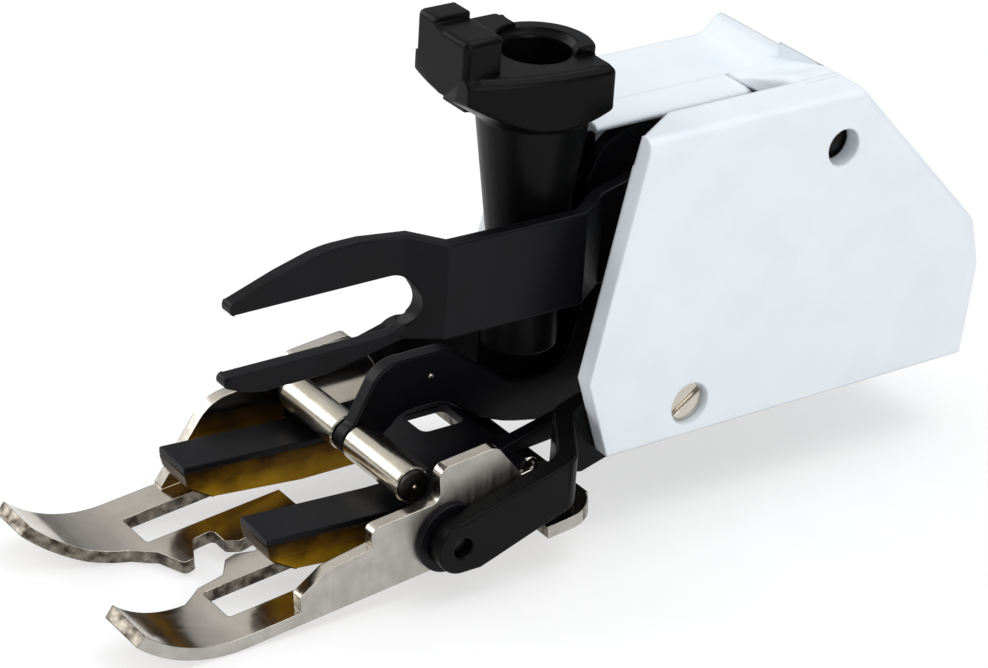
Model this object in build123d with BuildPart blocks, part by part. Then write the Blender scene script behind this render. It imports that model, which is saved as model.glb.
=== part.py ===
from build123d import *
import math
import os

os.makedirs("parts", exist_ok=True)

# All lengths are in millimetres. X runs to the near side, Y to the back, Z up.
# Heights are given above the needle plate, and the part's zero is the mouth of the bar socket.

# Sheet, wall and fit sizes
sole_sheet = 0.9
fork_sheet = 1.0
carriage_sheet = 0.55
cover_wall = 1.35
running_fit = 0.05
side_play = 0.1
shaft_radius = 1.0
hub_wall = 0.9

# Where the shafts and pins stand
socket_mouth_height = 30.8
shaft_back = 20.0
shaft_height = 23.1
pivot_back = -11.8
pivot_height = 2.2
roller_back = -13.24
roller_height = 5.26
link_back = 9.0
link_height = 5.5

# Bar socket, shank and collar
socket_radius = 2.35
socket_depth = 8.0
socket_lead = 0.45
shank_top_radius = 3.87
shank_low_radius = 2.69
shank_top_height = 26.5
shank_waist_height = 17.6
shank_foot_height = 9.5
collar_front = -7.1
collar_back = 3.4
collar_near_front = 2.5
collar_near_middle = 4.15
collar_near_back = 4.6
collar_far = -3.8
collar_lip_height = 29.5
collar_round = 0.6
collar_edge = 0.45
boss_back = -4.3
boss_near = 2.1
boss_height = 33.3
boss_step = -0.6
boss_rise = 0.9
boss_edge = 0.3
lug_far = -4.7
lug_near = -1.4
lug_back = 0.2
lug_height = 31.7
rim_height = 31.3

# Arms and cheeks of the frame casting
arm_inside = 10.1
arm_sheet = 1.4
arm_end_radius = 1.9
cheek_inside = 5.75
cheek_sheet = 1.5
joggle_front = -3.6
joggle_back = -1.0
arm_bend = 1.2
arm_crown_height = 6.3
cheek_low_height = 4.4
cheek_back = 17.5
far_cheek_height = 8.6
cross_bar_front = 14.2
cross_bar_height = 7.5
base_inside = -0.9
base_half_length = 2.6
base_height = 14.0
base_low_height = 5.2

# Housing cover
cover_half_width = 8.75
cover_low = 4.0
cover_foot_front = 1.2
cover_chin_front = -0.75
cover_chin_height = 10.0
cover_brow_front = 3.4
cover_head_room = 0.55
cover_ridge_back = 21.8
cover_slope_back = 33.6
cover_slope_height = 14.6
cover_tail_back = 34.6
cover_tail_height = 10.8
cover_tail_lean = 0.6
cover_back_round = 2.5
cover_round = 0.9
shelf_drop = 2.1
shelf_back = 22.3
shelf_curve = 2.0
shelf_round = 1.0
slot_far = -1.0
slot_near = 5.2
slot_back = 21.8
shank_room = 0.4
slot_corner_back = 7.3
slot_corner_near = 7.5
slot_corner_front = 3.6
shaft_window_radius = 1.35

# Housing screw
screw_back = 8.5
screw_height = 6.3
screw_radius = 0.8
screw_head_radius = 1.4
screw_head_tall = 0.5
screw_seat = 0.6
screw_slot = 0.45
screw_turn = 35.0
screw_fit = 0.02
screw_hole_fit = 0.15

# Fork lever
fork_inside = 1.9
fork_bulge_inside = 3.8
fork_front = -25.1
fork_slot_width = 4.3
fork_slot_height = 16.3
fork_slot_back = -10.6
fork_body_top = 20.6
fork_body_low = 13.85
fork_tine_low = 12.45
fork_tine_top = 21.5
fork_tip_height = 19.3
fork_tip_round = 0.4
bulge_front = -9.2
bulge_back = 1.2
bulge_run = 2.7

# Roller arm, rollers and their pin
arm_plate = 1.2
nose_radius = 1.2
crest_height = 10.45
crest_front = -11.5
crest_back = -6.0
crest_round = 2.4
valley_height = 6.4
valley_front = -0.6
valley_back = 3.75
valley_round = 1.7
plate_deep = 3.95
upright_front = 4.6
upright_back = 8.8
clip_sheet = 0.25
clip_play = 0.05
spacer_wall = 0.2
roller_radius = 1.27
roller_length = 6.5
roller_gap = 0.15
roller_pin_radius = 0.5
roller_head_radius = 1.1
roller_head_tall = 0.3
roller_edge = 0.15

# Drive link
link_inside = 4.1
link_sheet = 1.1
link_pin_radius = 0.6
link_head_radius = 1.0
link_head_tall = 0.3

# Feed carriage and its pads
prong_inside = 3.6
prong_width = 3.4
prong_front = -24.1
prong_bend = -14.6
prong_rise = 0.48
carriage_top = 3.62
web_front = -9.5
web_back = -3.0
web_waist = 5.8
tail_inside = 3.0
tail_sheet = 1.0
tail_radius = 1.4
window_middle = -2.0
window_width = 2.6
web_window_long = 3.4
window_round = 0.5
pad_tall = 1.0
pad_front_slope = 0.3
tread_inset = 0.3
tread_low = 0.4
tread_rise = 0.65
tread_front = -21.7
tread_back = -10.2
tread_nose_height = 2.1
tread_round = 0.8

# Sole plate
sole_tilt = 6.6
sole_half_width = 9.5
toe_tip = -23.2
toe_bend = -15.4
toe_radius = 10.5
sole_rear = 11.4
sole_notch = 6.8
lip_inset = 0.2
lip_round = 2.7
window_inside = 3.65
window_outside = 7.0
window_front = -15.3
toe_window_round = 0.25
gap_round = 0.35
opening_half_width = 7.0
opening_front = -5.0
opening_back = 9.5
flange_front = -11.35
flange_front_height = 2.1
flange_ramp = -9.2
flange_ramp_height = 3.3
flange_step = -5.75
flange_step_low = 3.55
flange_step_height = 4.95
ear_front = -0.3
ear_back = 4.3
ear_height = 7.35
ear_round = 0.8
flange_back = 6.3
flange_back_height = 4.2
far_front_height = 1.1
far_crown_front = -7.0
far_crown_back = -1.3
far_crown_height = 6.3
far_crown_round = 3.0
sole_pin_radius = 0.7
sole_pin_recess = 0.8
sole_pin_reach = 1.4
washer_radius = 2.5

# Springs
spring_wire = 0.36
spring_pitch = 0.7
wire_sides = 4
spring_room = 0.1
sole_coil_turns = 2
hook_back = -5.6
hook_height = 4.2
hook_radius = 0.5

cheek_outside = cheek_inside + cheek_sheet
arm_outside = arm_inside + arm_sheet
cover_inside = cover_half_width - cover_wall
carriage_low = carriage_top - carriage_sheet
pad_low = carriage_low - pad_tall
hub_radius = shaft_radius + hub_wall
flange_inside = sole_half_width - sole_sheet
lip_half_width = arm_outside - lip_inset
cover_top_height = shaft_height + hub_radius + cover_wall + cover_head_room
shelf_height = cover_top_height - shelf_drop
# a cut of this length passes through any piece
reach = 60.0


def level(height):
    """Gives the part's own Z for a height above the needle plate."""
    return height - socket_mouth_height


def at(back, height):
    """Gives a point of a side view from its place in depth and its height."""
    return (back, level(height))


def side(offset):
    """Gives the side view's plane at one place across the part."""
    return Plane.YZ.offset(offset)


def across(back, height, start):
    """Gives a plane square to X, centred on an axis that runs across the part."""
    return Plane((start, back, level(height)), x_dir=(0, 1, 0), z_dir=(1, 0, 0))


sole_lean = math.radians(sole_tilt)
sole_plane = Plane(
    (0, pivot_back, level(pivot_height)),
    x_dir=(1, 0, 0),
    z_dir=(0, -math.sin(sole_lean), math.cos(sole_lean)),
)
sole_side = Plane(
    (0, pivot_back, level(pivot_height)),
    x_dir=(0, math.cos(sole_lean), math.sin(sole_lean)),
    z_dir=(1, 0, 0),
)

# Frame casting: collar block, whose underside is the shank's flare
collar_corner = math.hypot(collar_far, collar_front)
with BuildPart() as collar:
    with BuildSketch(Plane.XY.offset(level(shank_waist_height))):
        with BuildLine():
            Polyline(
                (collar_near_back, collar_back),
                (0, collar_back),
                (collar_far, 0),
                (collar_far, collar_front),
                (collar_near_front, collar_front),
            )
            ThreePointArc(
                (collar_near_front, collar_front),
                (collar_near_middle, (collar_front + collar_back) / 2),
                (collar_near_back, collar_back),
            )
        make_face()
    extrude(amount=reach)
    fillet(collar.edges().filter_by(Axis.Z).group_by(Axis.X)[-1], collar_round)
    with BuildSketch(Plane.XZ):
        with BuildLine():
            Polyline(
                (0, level(shank_top_height)),
                (shank_top_radius, level(shank_top_height)),
                (collar_corner, level(collar_lip_height)),
                (collar_corner, level(socket_mouth_height)),
                (0, level(socket_mouth_height)),
                close=True,
            )
        make_face()
    revolve(axis=Axis.Z, mode=Mode.INTERSECT)
    collar_top = collar.faces().sort_by(Axis.Z)[-1].edges()
    chamfer([e for e in collar_top if e.center().X > 1 and e.center().Y > boss_back], collar_edge)

# Clamp boss at the front of the collar, with its raised far step and broken edges
with BuildPart() as boss:
    with BuildSketch(Plane.XZ.offset(-boss_back)):
        with BuildLine():
            Polyline(
                (collar_far, level(collar_lip_height)),
                (boss_near, level(collar_lip_height)),
                (boss_near, level(boss_height)),
                (boss_step, level(boss_height)),
                (boss_step, level(boss_height + boss_rise)),
                (collar_far, level(boss_height + boss_rise)),
                close=True,
            )
        make_face()
    extrude(amount=boss_back - collar_front)
    boss_soft = [e for e in boss.edges() if e.center().Y < boss_back]
    boss_soft = [e for e in boss_soft if e.center().Z > level(collar_lip_height)]
    chamfer([e for e in boss_soft if abs(e.center().X - boss_step) > boss_edge / 2], boss_edge)

# Near arm: the plan of its strip crossed with its side view
arm_miter = arm_sheet / 2
with BuildPart() as near_arm:
    with BuildSketch(Plane.XY.offset(level(-arm_end_radius))) as near_plan:
        with BuildLine():
            Polyline(
                (arm_inside, pivot_back - arm_end_radius),
                (arm_outside, pivot_back - arm_end_radius),
                (arm_outside, joggle_front + arm_miter),
                (cheek_outside, joggle_back + arm_miter),
                (cheek_outside, shaft_back + hub_radius),
                (cheek_inside, shaft_back + hub_radius),
                (cheek_inside, joggle_back),
                (arm_inside, joggle_front),
                close=True,
            )
        make_face()
        fillet(near_plan.vertices().sort_by(Axis.Y)[2:6], arm_bend)
    extrude(amount=reach)
    with BuildSketch(side(0)):
        with BuildLine():
            Polyline(
                at(pivot_back, pivot_height + arm_end_radius),
                at(joggle_front, arm_crown_height),
                at(joggle_back + 3.9, arm_crown_height + 2.0),
                at(shaft_back - hub_radius, shaft_height),
                at(shaft_back + hub_radius, shaft_height),
                at(cheek_back, cross_bar_height),
                at(cheek_back, cheek_low_height),
                at(joggle_back + 5.6, cheek_low_height),
                at(joggle_back + 3.9, cheek_low_height - 1.5),
                at(joggle_back + 1.8, cheek_low_height - 2.1),
                at(joggle_back - 1.5, cheek_low_height - 1.4),
                at(joggle_front - 1.9, pivot_height - 0.2),
                at(pivot_back + 1.5, pivot_height - arm_end_radius),
                at(pivot_back, pivot_height - arm_end_radius),
                close=True,
            )
        make_face()
        with Locations(at(pivot_back, pivot_height)):
            Circle(arm_end_radius)
        with Locations(at(shaft_back, shaft_height)):
            Circle(hub_radius)
    extrude(amount=reach, mode=Mode.INTERSECT)

# Far arm: the same strip, with a cheek that stays low
with BuildPart() as far_arm:
    with BuildSketch(Plane.XY.offset(level(-arm_end_radius))) as far_plan:
        with BuildLine():
            Polyline(
                (-arm_inside, pivot_back - arm_end_radius),
                (-arm_outside, pivot_back - arm_end_radius),
                (-arm_outside, joggle_front + arm_miter),
                (-cheek_outside, joggle_back + arm_miter),
                (-cheek_outside, cheek_back),
                (-cheek_inside, cheek_back),
                (-cheek_inside, joggle_back),
                (-arm_inside, joggle_front),
                close=True,
            )
        make_face()
        fillet(far_plan.vertices().sort_by(Axis.Y)[2:6], arm_bend)
    extrude(amount=reach)
    with BuildSketch(side(0)):
        with BuildLine():
            Polyline(
                at(pivot_back, pivot_height + arm_end_radius),
                at(joggle_front, arm_crown_height),
                at(joggle_back + 0.6, far_cheek_height),
                at(cheek_back, cross_bar_height),
                at(cheek_back, cheek_low_height),
                at(joggle_back + 5.6, cheek_low_height),
                at(joggle_back + 3.9, cheek_low_height - 1.5),
                at(joggle_back + 1.8, cheek_low_height - 2.1),
                at(joggle_back - 1.5, cheek_low_height - 1.4),
                at(joggle_front - 1.9, pivot_height - 0.2),
                at(pivot_back + 1.5, pivot_height - arm_end_radius),
                at(pivot_back, pivot_height - arm_end_radius),
                close=True,
            )
        make_face()
        with Locations(at(pivot_back, pivot_height)):
            Circle(arm_end_radius)
    extrude(amount=-reach, mode=Mode.INTERSECT)

with BuildPart() as frame_casting:
    # shank, turned about the socket's axis
    with BuildSketch(Plane.XZ):
        with BuildLine():
            Polyline(
                (0, level(shank_foot_height)),
                (shank_low_radius, level(shank_foot_height)),
                (shank_low_radius, level(shank_waist_height)),
                (shank_top_radius, level(shank_top_height)),
                (shank_top_radius, level(socket_mouth_height)),
                (0, level(socket_mouth_height)),
                close=True,
            )
        make_face()
    revolve(axis=Axis.Z)
    add(collar.part)
    add(boss.part)
    # raised rim round the back of the socket
    with BuildSketch(Plane.XY.offset(level(socket_mouth_height))):
        Circle(shank_top_radius)
        with Locations((-shank_top_radius / 2, shank_top_radius / 2)):
            Rectangle(2 * shank_top_radius, shank_top_radius, mode=Mode.INTERSECT)
    extrude(amount=rim_height - socket_mouth_height)
    # far lug beside the socket
    with BuildSketch(Plane.XY.offset(level(shank_top_height))):
        with Locations(((lug_far + lug_near) / 2, (boss_back + lug_back) / 2)):
            RectangleRounded(lug_near - lug_far, lug_back - boss_back, collar_round)
    extrude(amount=lug_height - shank_top_height)
    # base under the shank and the cross bar that join the two cheeks
    with BuildSketch(Plane.XY.offset(level(cheek_low_height))):
        with Locations((-cheek_outside + cheek_sheet / 2, 0)):
            Rectangle(cheek_sheet, 2 * base_half_length)
    extrude(amount=base_height - cheek_low_height)
    with BuildSketch(Plane.XY.offset(level(base_low_height))):
        with Locations(((base_inside - cheek_outside) / 2, 0)):
            Rectangle(cheek_outside + base_inside, 2 * base_half_length)
    extrude(amount=base_height - base_low_height)
    with BuildSketch(Plane.XY.offset(level(cheek_low_height))):
        with Locations((0, (cross_bar_front + cheek_back) / 2)):
            Rectangle(2 * cheek_inside, cheek_back - cross_bar_front)
    extrude(amount=cross_bar_height - cheek_low_height)
    add(near_arm.part)
    add(far_arm.part)
    # bar socket with its lead-in
    with BuildSketch(Plane.XY.offset(level(socket_mouth_height - socket_depth))):
        Circle(socket_radius)
    extrude(amount=reach, mode=Mode.SUBTRACT)
    with BuildSketch(Plane.XZ):
        with BuildLine():
            Polyline(
                (0, level(socket_mouth_height)),
                (socket_radius, level(socket_mouth_height)),
                (socket_radius + socket_lead, level(socket_mouth_height + socket_lead)),
                (socket_radius + socket_lead, level(lug_height + socket_lead)),
                (0, level(lug_height + socket_lead)),
                close=True,
            )
        make_face()
    revolve(axis=Axis.Z, mode=Mode.SUBTRACT)
    # shaft hole, screw hole and sole pin holes
    with BuildSketch(across(shaft_back, shaft_height, cheek_inside)):
        Circle(shaft_radius)
    extrude(amount=cheek_sheet, mode=Mode.SUBTRACT)
    with BuildSketch(across(screw_back, screw_height, cheek_inside)):
        Circle(screw_radius + screw_fit)
    extrude(amount=cheek_sheet, mode=Mode.SUBTRACT)
    with BuildSketch(across(pivot_back, pivot_height, -arm_outside)):
        Circle(sole_pin_radius + screw_fit)
    extrude(amount=2 * arm_outside, mode=Mode.SUBTRACT)
frame_casting.part.label = "frame_casting"
export_step(frame_casting.part, "parts/frame_casting.step")


# Side view of the housing cover, outside and in its hollow, which is open at the front and the bottom
cover_points = [
    at(cover_foot_front, cover_low),
    at(cover_chin_front, cover_chin_height),
    at(cover_brow_front, cover_top_height),
    at(cover_ridge_back, cover_top_height),
    at(cover_slope_back, cover_slope_height),
    at(cover_tail_back, cover_tail_height),
    at(cover_tail_back - cover_tail_lean, cover_low),
]
hollow_back = cover_tail_back - cover_tail_lean - 2 * cover_wall
hollow_points = [
    at(cover_chin_front - cover_wall, cover_low - cover_wall),
    at(cover_chin_front - cover_wall, cover_top_height - cover_wall),
    at(cover_ridge_back - 2 * cover_wall, cover_top_height - cover_wall),
    at(hollow_back, cover_low + 2 * cover_wall),
    at(hollow_back, cover_low - cover_wall),
]

with BuildPart() as housing_cover:
    with BuildSketch(side(-cover_half_width)) as cover_view:
        with BuildLine():
            Polyline(*cover_points, close=True)
        make_face()
        cover_corners = cover_view.vertices().sort_by(Axis.X)
        fillet((cover_corners[-1], cover_corners[-3]), cover_back_round)
    extrude(amount=2 * cover_half_width)
    cover_rims = housing_cover.faces().filter_by(Axis.X).edges()
    cover_soft = [e for e in cover_rims if e.center().Z > level(cover_low) + 0.1]
    cover_soft = [e for e in cover_soft if e.center().Y > cover_brow_front]
    fillet(cover_soft, cover_round)
    # lowered far half of the top, with the curve up to the ridge
    with BuildSketch(side(slot_far)) as shelf_view:
        with BuildLine():
            Polyline(
                at(-reach, shelf_height),
                at(shelf_back, shelf_height),
                at(shelf_back, cover_top_height + shelf_curve),
                at(-reach, cover_top_height + shelf_curve),
                close=True,
            )
        make_face()
        fillet(shelf_view.vertices().sort_by(Axis.Y)[:2].sort_by(Axis.X)[-1], shelf_curve)
    extrude(amount=-reach, mode=Mode.SUBTRACT)
    # hollow, high on the near side and low under the far half
    with BuildSketch(side(slot_far)):
        with BuildLine():
            Polyline(*cover_points, close=True)
        make_face()
        offset(amount=-cover_wall, mode=Mode.REPLACE)
        with BuildLine():
            Polyline(*hollow_points, close=True)
        make_face()
    extrude(amount=cover_inside - slot_far, mode=Mode.SUBTRACT)
    with BuildSketch(side(slot_far)):
        with BuildLine():
            Polyline(*cover_points, close=True)
        make_face()
        offset(amount=-cover_wall, mode=Mode.REPLACE)
        with BuildLine():
            Polyline(*hollow_points, close=True)
        make_face()
        with Locations(at(0, shelf_height - cover_wall - reach / 2)):
            Rectangle(2 * reach, reach, mode=Mode.INTERSECT)
    extrude(amount=-cover_inside - slot_far, mode=Mode.SUBTRACT)
    # slot for the levers, with the cut-off inner corner of the near half
    with BuildSketch(Plane.XY.offset(level(cover_top_height - 1.5 * cover_wall))):
        with BuildLine():
            Polyline(
                (slot_far, cover_chin_front - cover_wall),
                (slot_far, slot_back),
                (slot_near, slot_back),
                (slot_near, slot_corner_back),
                (slot_corner_near, slot_corner_front),
                (slot_corner_near, cover_chin_front - cover_wall),
                close=True,
            )
        make_face()
    extrude(amount=reach, mode=Mode.SUBTRACT)
    # room for the shank at the front of the lowered half
    with BuildSketch(Plane.XY.offset(level(shank_waist_height))):
        Circle(shank_top_radius + shank_room)
    extrude(amount=reach, mode=Mode.SUBTRACT)
    # window over the shaft's end and the screw's seat
    with BuildSketch(across(shaft_back, shaft_height, cover_inside)):
        Circle(shaft_window_radius)
    extrude(amount=cover_wall, mode=Mode.SUBTRACT)
    with BuildSketch(across(screw_back, screw_height, cover_inside)):
        Circle(screw_radius + screw_hole_fit)
    extrude(amount=cover_wall, mode=Mode.SUBTRACT)
    with BuildSketch(across(screw_back, screw_height, cover_inside + screw_seat)):
        Circle(screw_head_radius + screw_hole_fit)
    extrude(amount=cover_wall, mode=Mode.SUBTRACT)
    # rounded edge of the lowered half along the slot
    with BuildSketch(Plane.XZ.offset(shelf_curve - shelf_back)):
        with Locations((slot_far, level(shelf_height))):
            Rectangle(2 * shelf_round, 2 * shelf_round)
        with Locations((slot_far - shelf_round, level(shelf_height - shelf_round))):
            Circle(shelf_round, mode=Mode.SUBTRACT)
        with Locations((slot_far - shelf_round, level(shelf_height))):
            Rectangle(2 * shelf_round, 4 * shelf_round, align=(Align.MIN, Align.CENTER), mode=Mode.INTERSECT)
    extrude(amount=reach, mode=Mode.SUBTRACT)
housing_cover.part.label = "housing_cover"
export_step(housing_cover.part, "parts/housing_cover.step")

with BuildPart() as housing_screw:
    with BuildSketch(across(screw_back, screw_height, cheek_inside + screw_hole_fit)):
        Circle(screw_radius)
    extrude(amount=cover_inside + screw_seat - cheek_inside - screw_hole_fit)
    with BuildSketch(across(screw_back, screw_height, cover_inside + screw_seat)):
        Circle(screw_head_radius)
    extrude(amount=screw_head_tall)
    with BuildSketch(across(screw_back, screw_height, cover_inside + screw_seat + screw_head_tall / 2)):
        Rectangle(3 * screw_head_radius, screw_slot, rotation=screw_turn)
    extrude(amount=screw_head_tall, mode=Mode.SUBTRACT)
housing_screw.part.label = "housing_screw"
export_step(housing_screw.part, "parts/housing_screw.step")

# Stub shaft, fast in the near cheek, with the levers and their spacers along it
plate_half = arm_plate / 2
clip_near = -plate_half - clip_play
clip_far = clip_near - clip_sheet
shaft_far = clip_far - screw_fit
with BuildPart() as lever_shaft:
    with BuildSketch(across(shaft_back, shaft_height, shaft_far)):
        Circle(shaft_radius)
    extrude(amount=cheek_outside - shaft_far)
lever_shaft.part.label = "lever_shaft"
export_step(lever_shaft.part, "parts/lever_shaft.step")

with BuildPart() as shaft_clip:
    with BuildSketch(across(shaft_back, shaft_height, clip_far)):
        Circle(hub_radius)
        Circle(shaft_radius + screw_fit, mode=Mode.SUBTRACT)
        with Locations((0, -hub_radius)):
            Rectangle(shaft_radius, 2 * hub_radius, mode=Mode.SUBTRACT)
    extrude(amount=clip_sheet)
shaft_clip.part.label = "shaft_clip"
export_step(shaft_clip.part, "parts/shaft_clip.step")

with BuildPart() as spacer_far:
    with BuildSketch(across(shaft_back, shaft_height, plate_half + side_play)):
        Circle(shaft_radius + spacer_wall)
        Circle(shaft_radius + screw_fit, mode=Mode.SUBTRACT)
    extrude(amount=fork_inside - plate_half - 2 * side_play)
spacer_far.part.label = "spacer_far"
export_step(spacer_far.part, "parts/spacer_far.step")

with BuildPart() as spacer_mid:
    with BuildSketch(across(shaft_back, shaft_height, fork_inside + fork_sheet + side_play)):
        Circle(hub_radius)
        Circle(shaft_radius + screw_fit, mode=Mode.SUBTRACT)
    extrude(amount=link_inside - fork_inside - fork_sheet - 2 * side_play)
spacer_mid.part.label = "spacer_mid"
export_step(spacer_mid.part, "parts/spacer_mid.step")

with BuildPart() as spacer_near:
    with BuildSketch(across(shaft_back, shaft_height, link_inside + link_sheet + side_play)):
        Circle(hub_radius)
        Circle(shaft_radius + screw_fit, mode=Mode.SUBTRACT)
    extrude(amount=cheek_inside - link_inside - link_sheet - side_play)
spacer_near.part.label = "spacer_near"
export_step(spacer_near.part, "parts/spacer_near.step")

# Fork lever: the plan of its joggled strip crossed with its side view
fork_set = fork_bulge_inside - fork_inside
fork_miter = fork_sheet * 0.35
with BuildPart() as fork_lever:
    with BuildSketch(Plane.XY.offset(level(0))):
        with BuildLine():
            Polyline(
                (fork_inside, fork_front - fork_sheet),
                (fork_inside + fork_sheet, fork_front - fork_sheet),
                (fork_inside + fork_sheet, bulge_front - fork_set - fork_miter),
                (fork_bulge_inside + fork_sheet, bulge_front - fork_miter),
                (fork_bulge_inside + fork_sheet, bulge_back + fork_miter),
                (fork_inside + fork_sheet, bulge_back + bulge_run + fork_miter),
                (fork_inside + fork_sheet, shaft_back + hub_radius),
                (fork_inside, shaft_back + hub_radius),
                (fork_inside, bulge_back + bulge_run),
                (fork_bulge_inside, bulge_back),
                (fork_bulge_inside, bulge_front),
                (fork_inside, bulge_front - fork_set),
                close=True,
            )
        make_face()
    extrude(amount=reach)
    with BuildSketch(side(0)) as fork_view:
        with BuildLine():
            Polyline(
                at(fork_front + 0.3, fork_slot_height + fork_slot_width / 2),
                at(fork_front + 0.3, fork_tip_height),
                at(fork_front + 4.0, (fork_tip_height + fork_tine_top) / 2 + 0.2),
                at(fork_front + 7.2, fork_tine_top),
                at(fork_front + 10.2, fork_tine_top),
                at(fork_slot_back + 1.4, fork_body_top + 0.2),
                at(bulge_back + bulge_run, fork_body_top),
                at(shaft_back - hub_radius, shaft_height + hub_radius * 0.6),
                at(shaft_back, shaft_height),
                at(shaft_back - hub_radius * 0.4, shaft_height - hub_radius * 0.9),
                at(bulge_back + bulge_run + 3.0, fork_body_low),
                at(fork_slot_back + 0.8, fork_body_low),
                at(fork_front + 8.0, fork_tine_low),
                at(fork_front + 2.2, fork_tine_low),
                at(fork_front, fork_body_low - 0.4),
                at(fork_front, fork_slot_height - fork_slot_width / 2),
                close=True,
            )
        make_face()
        with Locations(at(shaft_back, shaft_height)):
            Circle(hub_radius)
            Circle(shaft_radius + running_fit, mode=Mode.SUBTRACT)
        with Locations(at(fork_slot_back - fork_slot_width / 2, fork_slot_height)):
            Circle(fork_slot_width / 2, mode=Mode.SUBTRACT)
        with Locations(at(fork_slot_back - fork_slot_width / 2 - reach / 2, fork_slot_height)):
            Rectangle(reach, fork_slot_width, mode=Mode.SUBTRACT)
        fillet(fork_view.vertices().sort_by(Axis.X)[:4], fork_tip_round)
    extrude(amount=reach, mode=Mode.INTERSECT)
fork_lever.part.label = "fork_lever"
export_step(fork_lever.part, "parts/fork_lever.step")

# Roller arm: flat plate that hangs from the shaft, passes behind the shank and reaches the rollers
with BuildPart() as roller_arm:
    with BuildSketch(side(-plate_half)) as roller_view:
        with BuildLine():
            Polyline(
                at(roller_back - nose_radius / 2, roller_height + 0.7),
                at(crest_front, crest_height),
                at(crest_back, crest_height),
                at(valley_front, valley_height),
                at(valley_back, valley_height),
                at(upright_front + 0.6, shank_foot_height + 3.0),
                at(upright_front - 0.4, shaft_height - 3.2),
                at(upright_front + 1.5, shaft_height + 1.6),
                at(shaft_back, shaft_height + hub_radius - 0.3),
                at(shaft_back + 0.9, shaft_height),
                at(shaft_back, shaft_height - hub_radius),
                at(upright_back + 0.4, shaft_height - 2.7),
                at(upright_back, shank_waist_height - 3.6),
                at(upright_back + 0.2, cheek_low_height + 1.6),
                at(upright_back - 2.3, cheek_low_height - 1.2),
                at(valley_back, valley_height - plate_deep),
                at(valley_front - 1.6, crest_height - plate_deep - 2.8),
                at(crest_back - 0.3, crest_height - plate_deep),
                at(crest_front + 1.9, crest_height - plate_deep),
                at(roller_back + 0.7, roller_height - 1.0),
                close=True,
            )
        make_face()
        plate_bends = roller_view.vertices().sort_by(Axis.X)
        plate_tops = [v for v in plate_bends if crest_front - 0.1 < v.X < crest_back + 0.1]
        plate_dips = [v for v in plate_bends if valley_front - 2 < v.X < valley_back + 0.1]
        fillet(plate_tops, crest_round)
        fillet(plate_dips, valley_round)
        with Locations(at(roller_back, roller_height)):
            Circle(nose_radius)
        with Locations(at(shaft_back, shaft_height)):
            Circle(hub_radius)
            Circle(shaft_radius + running_fit, mode=Mode.SUBTRACT)
        with Locations(at(roller_back, roller_height)):
            Circle(roller_pin_radius, mode=Mode.SUBTRACT)
    extrude(amount=arm_plate)
roller_arm.part.label = "roller_arm"
export_step(roller_arm.part, "parts/roller_arm.step")

roller_near_end = plate_half + roller_gap + roller_length
pin_head_start = roller_near_end + side_play
with BuildPart() as roller_pin:
    with BuildSketch(across(roller_back, roller_height, -pin_head_start - roller_head_tall)):
        Circle(roller_head_radius)
    extrude(amount=roller_head_tall)
    with BuildSketch(across(roller_back, roller_height, -pin_head_start)):
        Circle(roller_pin_radius)
    extrude(amount=2 * pin_head_start)
    with BuildSketch(across(roller_back, roller_height, pin_head_start)):
        Circle(roller_head_radius)
    extrude(amount=roller_head_tall)
roller_pin.part.label = "roller_pin"
export_step(roller_pin.part, "parts/roller_pin.step")

with BuildPart() as roller_near:
    with BuildSketch(across(roller_back, roller_height, plate_half + roller_gap)):
        Circle(roller_radius)
        Circle(roller_pin_radius + running_fit, mode=Mode.SUBTRACT)
    extrude(amount=roller_length)
    chamfer(roller_near.edges().filter_by(GeomType.CIRCLE).sort_by(SortBy.RADIUS)[-2:], roller_edge)
roller_near.part.label = "roller_near"
export_step(roller_near.part, "parts/roller_near.step")

with BuildPart() as roller_far:
    with BuildSketch(across(roller_back, roller_height, -roller_near_end)):
        Circle(roller_radius)
        Circle(roller_pin_radius + running_fit, mode=Mode.SUBTRACT)
    extrude(amount=roller_length)
    chamfer(roller_far.edges().filter_by(GeomType.CIRCLE).sort_by(SortBy.RADIUS)[-2:], roller_edge)
roller_far.part.label = "roller_far"
export_step(roller_far.part, "parts/roller_far.step")

# Drive link from the shaft down to the carriage's tail
link_lean = math.degrees(math.atan2(shaft_height - link_height, shaft_back - link_back))
link_length = math.hypot(shaft_height - link_height, shaft_back - link_back)
with BuildPart() as drive_link:
    with BuildSketch(side(link_inside)):
        with Locations(at((shaft_back + link_back) / 2, (shaft_height + link_height) / 2)):
            SlotCenterToCenter(link_length, 2 * hub_radius, rotation=link_lean)
        with Locations(at(shaft_back, shaft_height)):
            Circle(shaft_radius + running_fit, mode=Mode.SUBTRACT)
        with Locations(at(link_back, link_height)):
            Circle(link_pin_radius, mode=Mode.SUBTRACT)
    extrude(amount=link_sheet)
drive_link.part.label = "drive_link"
export_step(drive_link.part, "parts/drive_link.step")

link_head_near = link_inside + link_sheet
link_head_far = tail_inside - side_play
with BuildPart() as link_pin:
    with BuildSketch(across(link_back, link_height, link_head_far - link_head_tall)):
        Circle(link_head_radius)
    extrude(amount=link_head_tall)
    with BuildSketch(across(link_back, link_height, link_head_far)):
        Circle(link_pin_radius)
    extrude(amount=link_head_near - link_head_far)
    with BuildSketch(across(link_back, link_height, link_head_near)):
        Circle(link_head_radius)
    extrude(amount=link_head_tall)
link_pin.part.label = "link_pin"
export_step(link_pin.part, "parts/link_pin.step")

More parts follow.
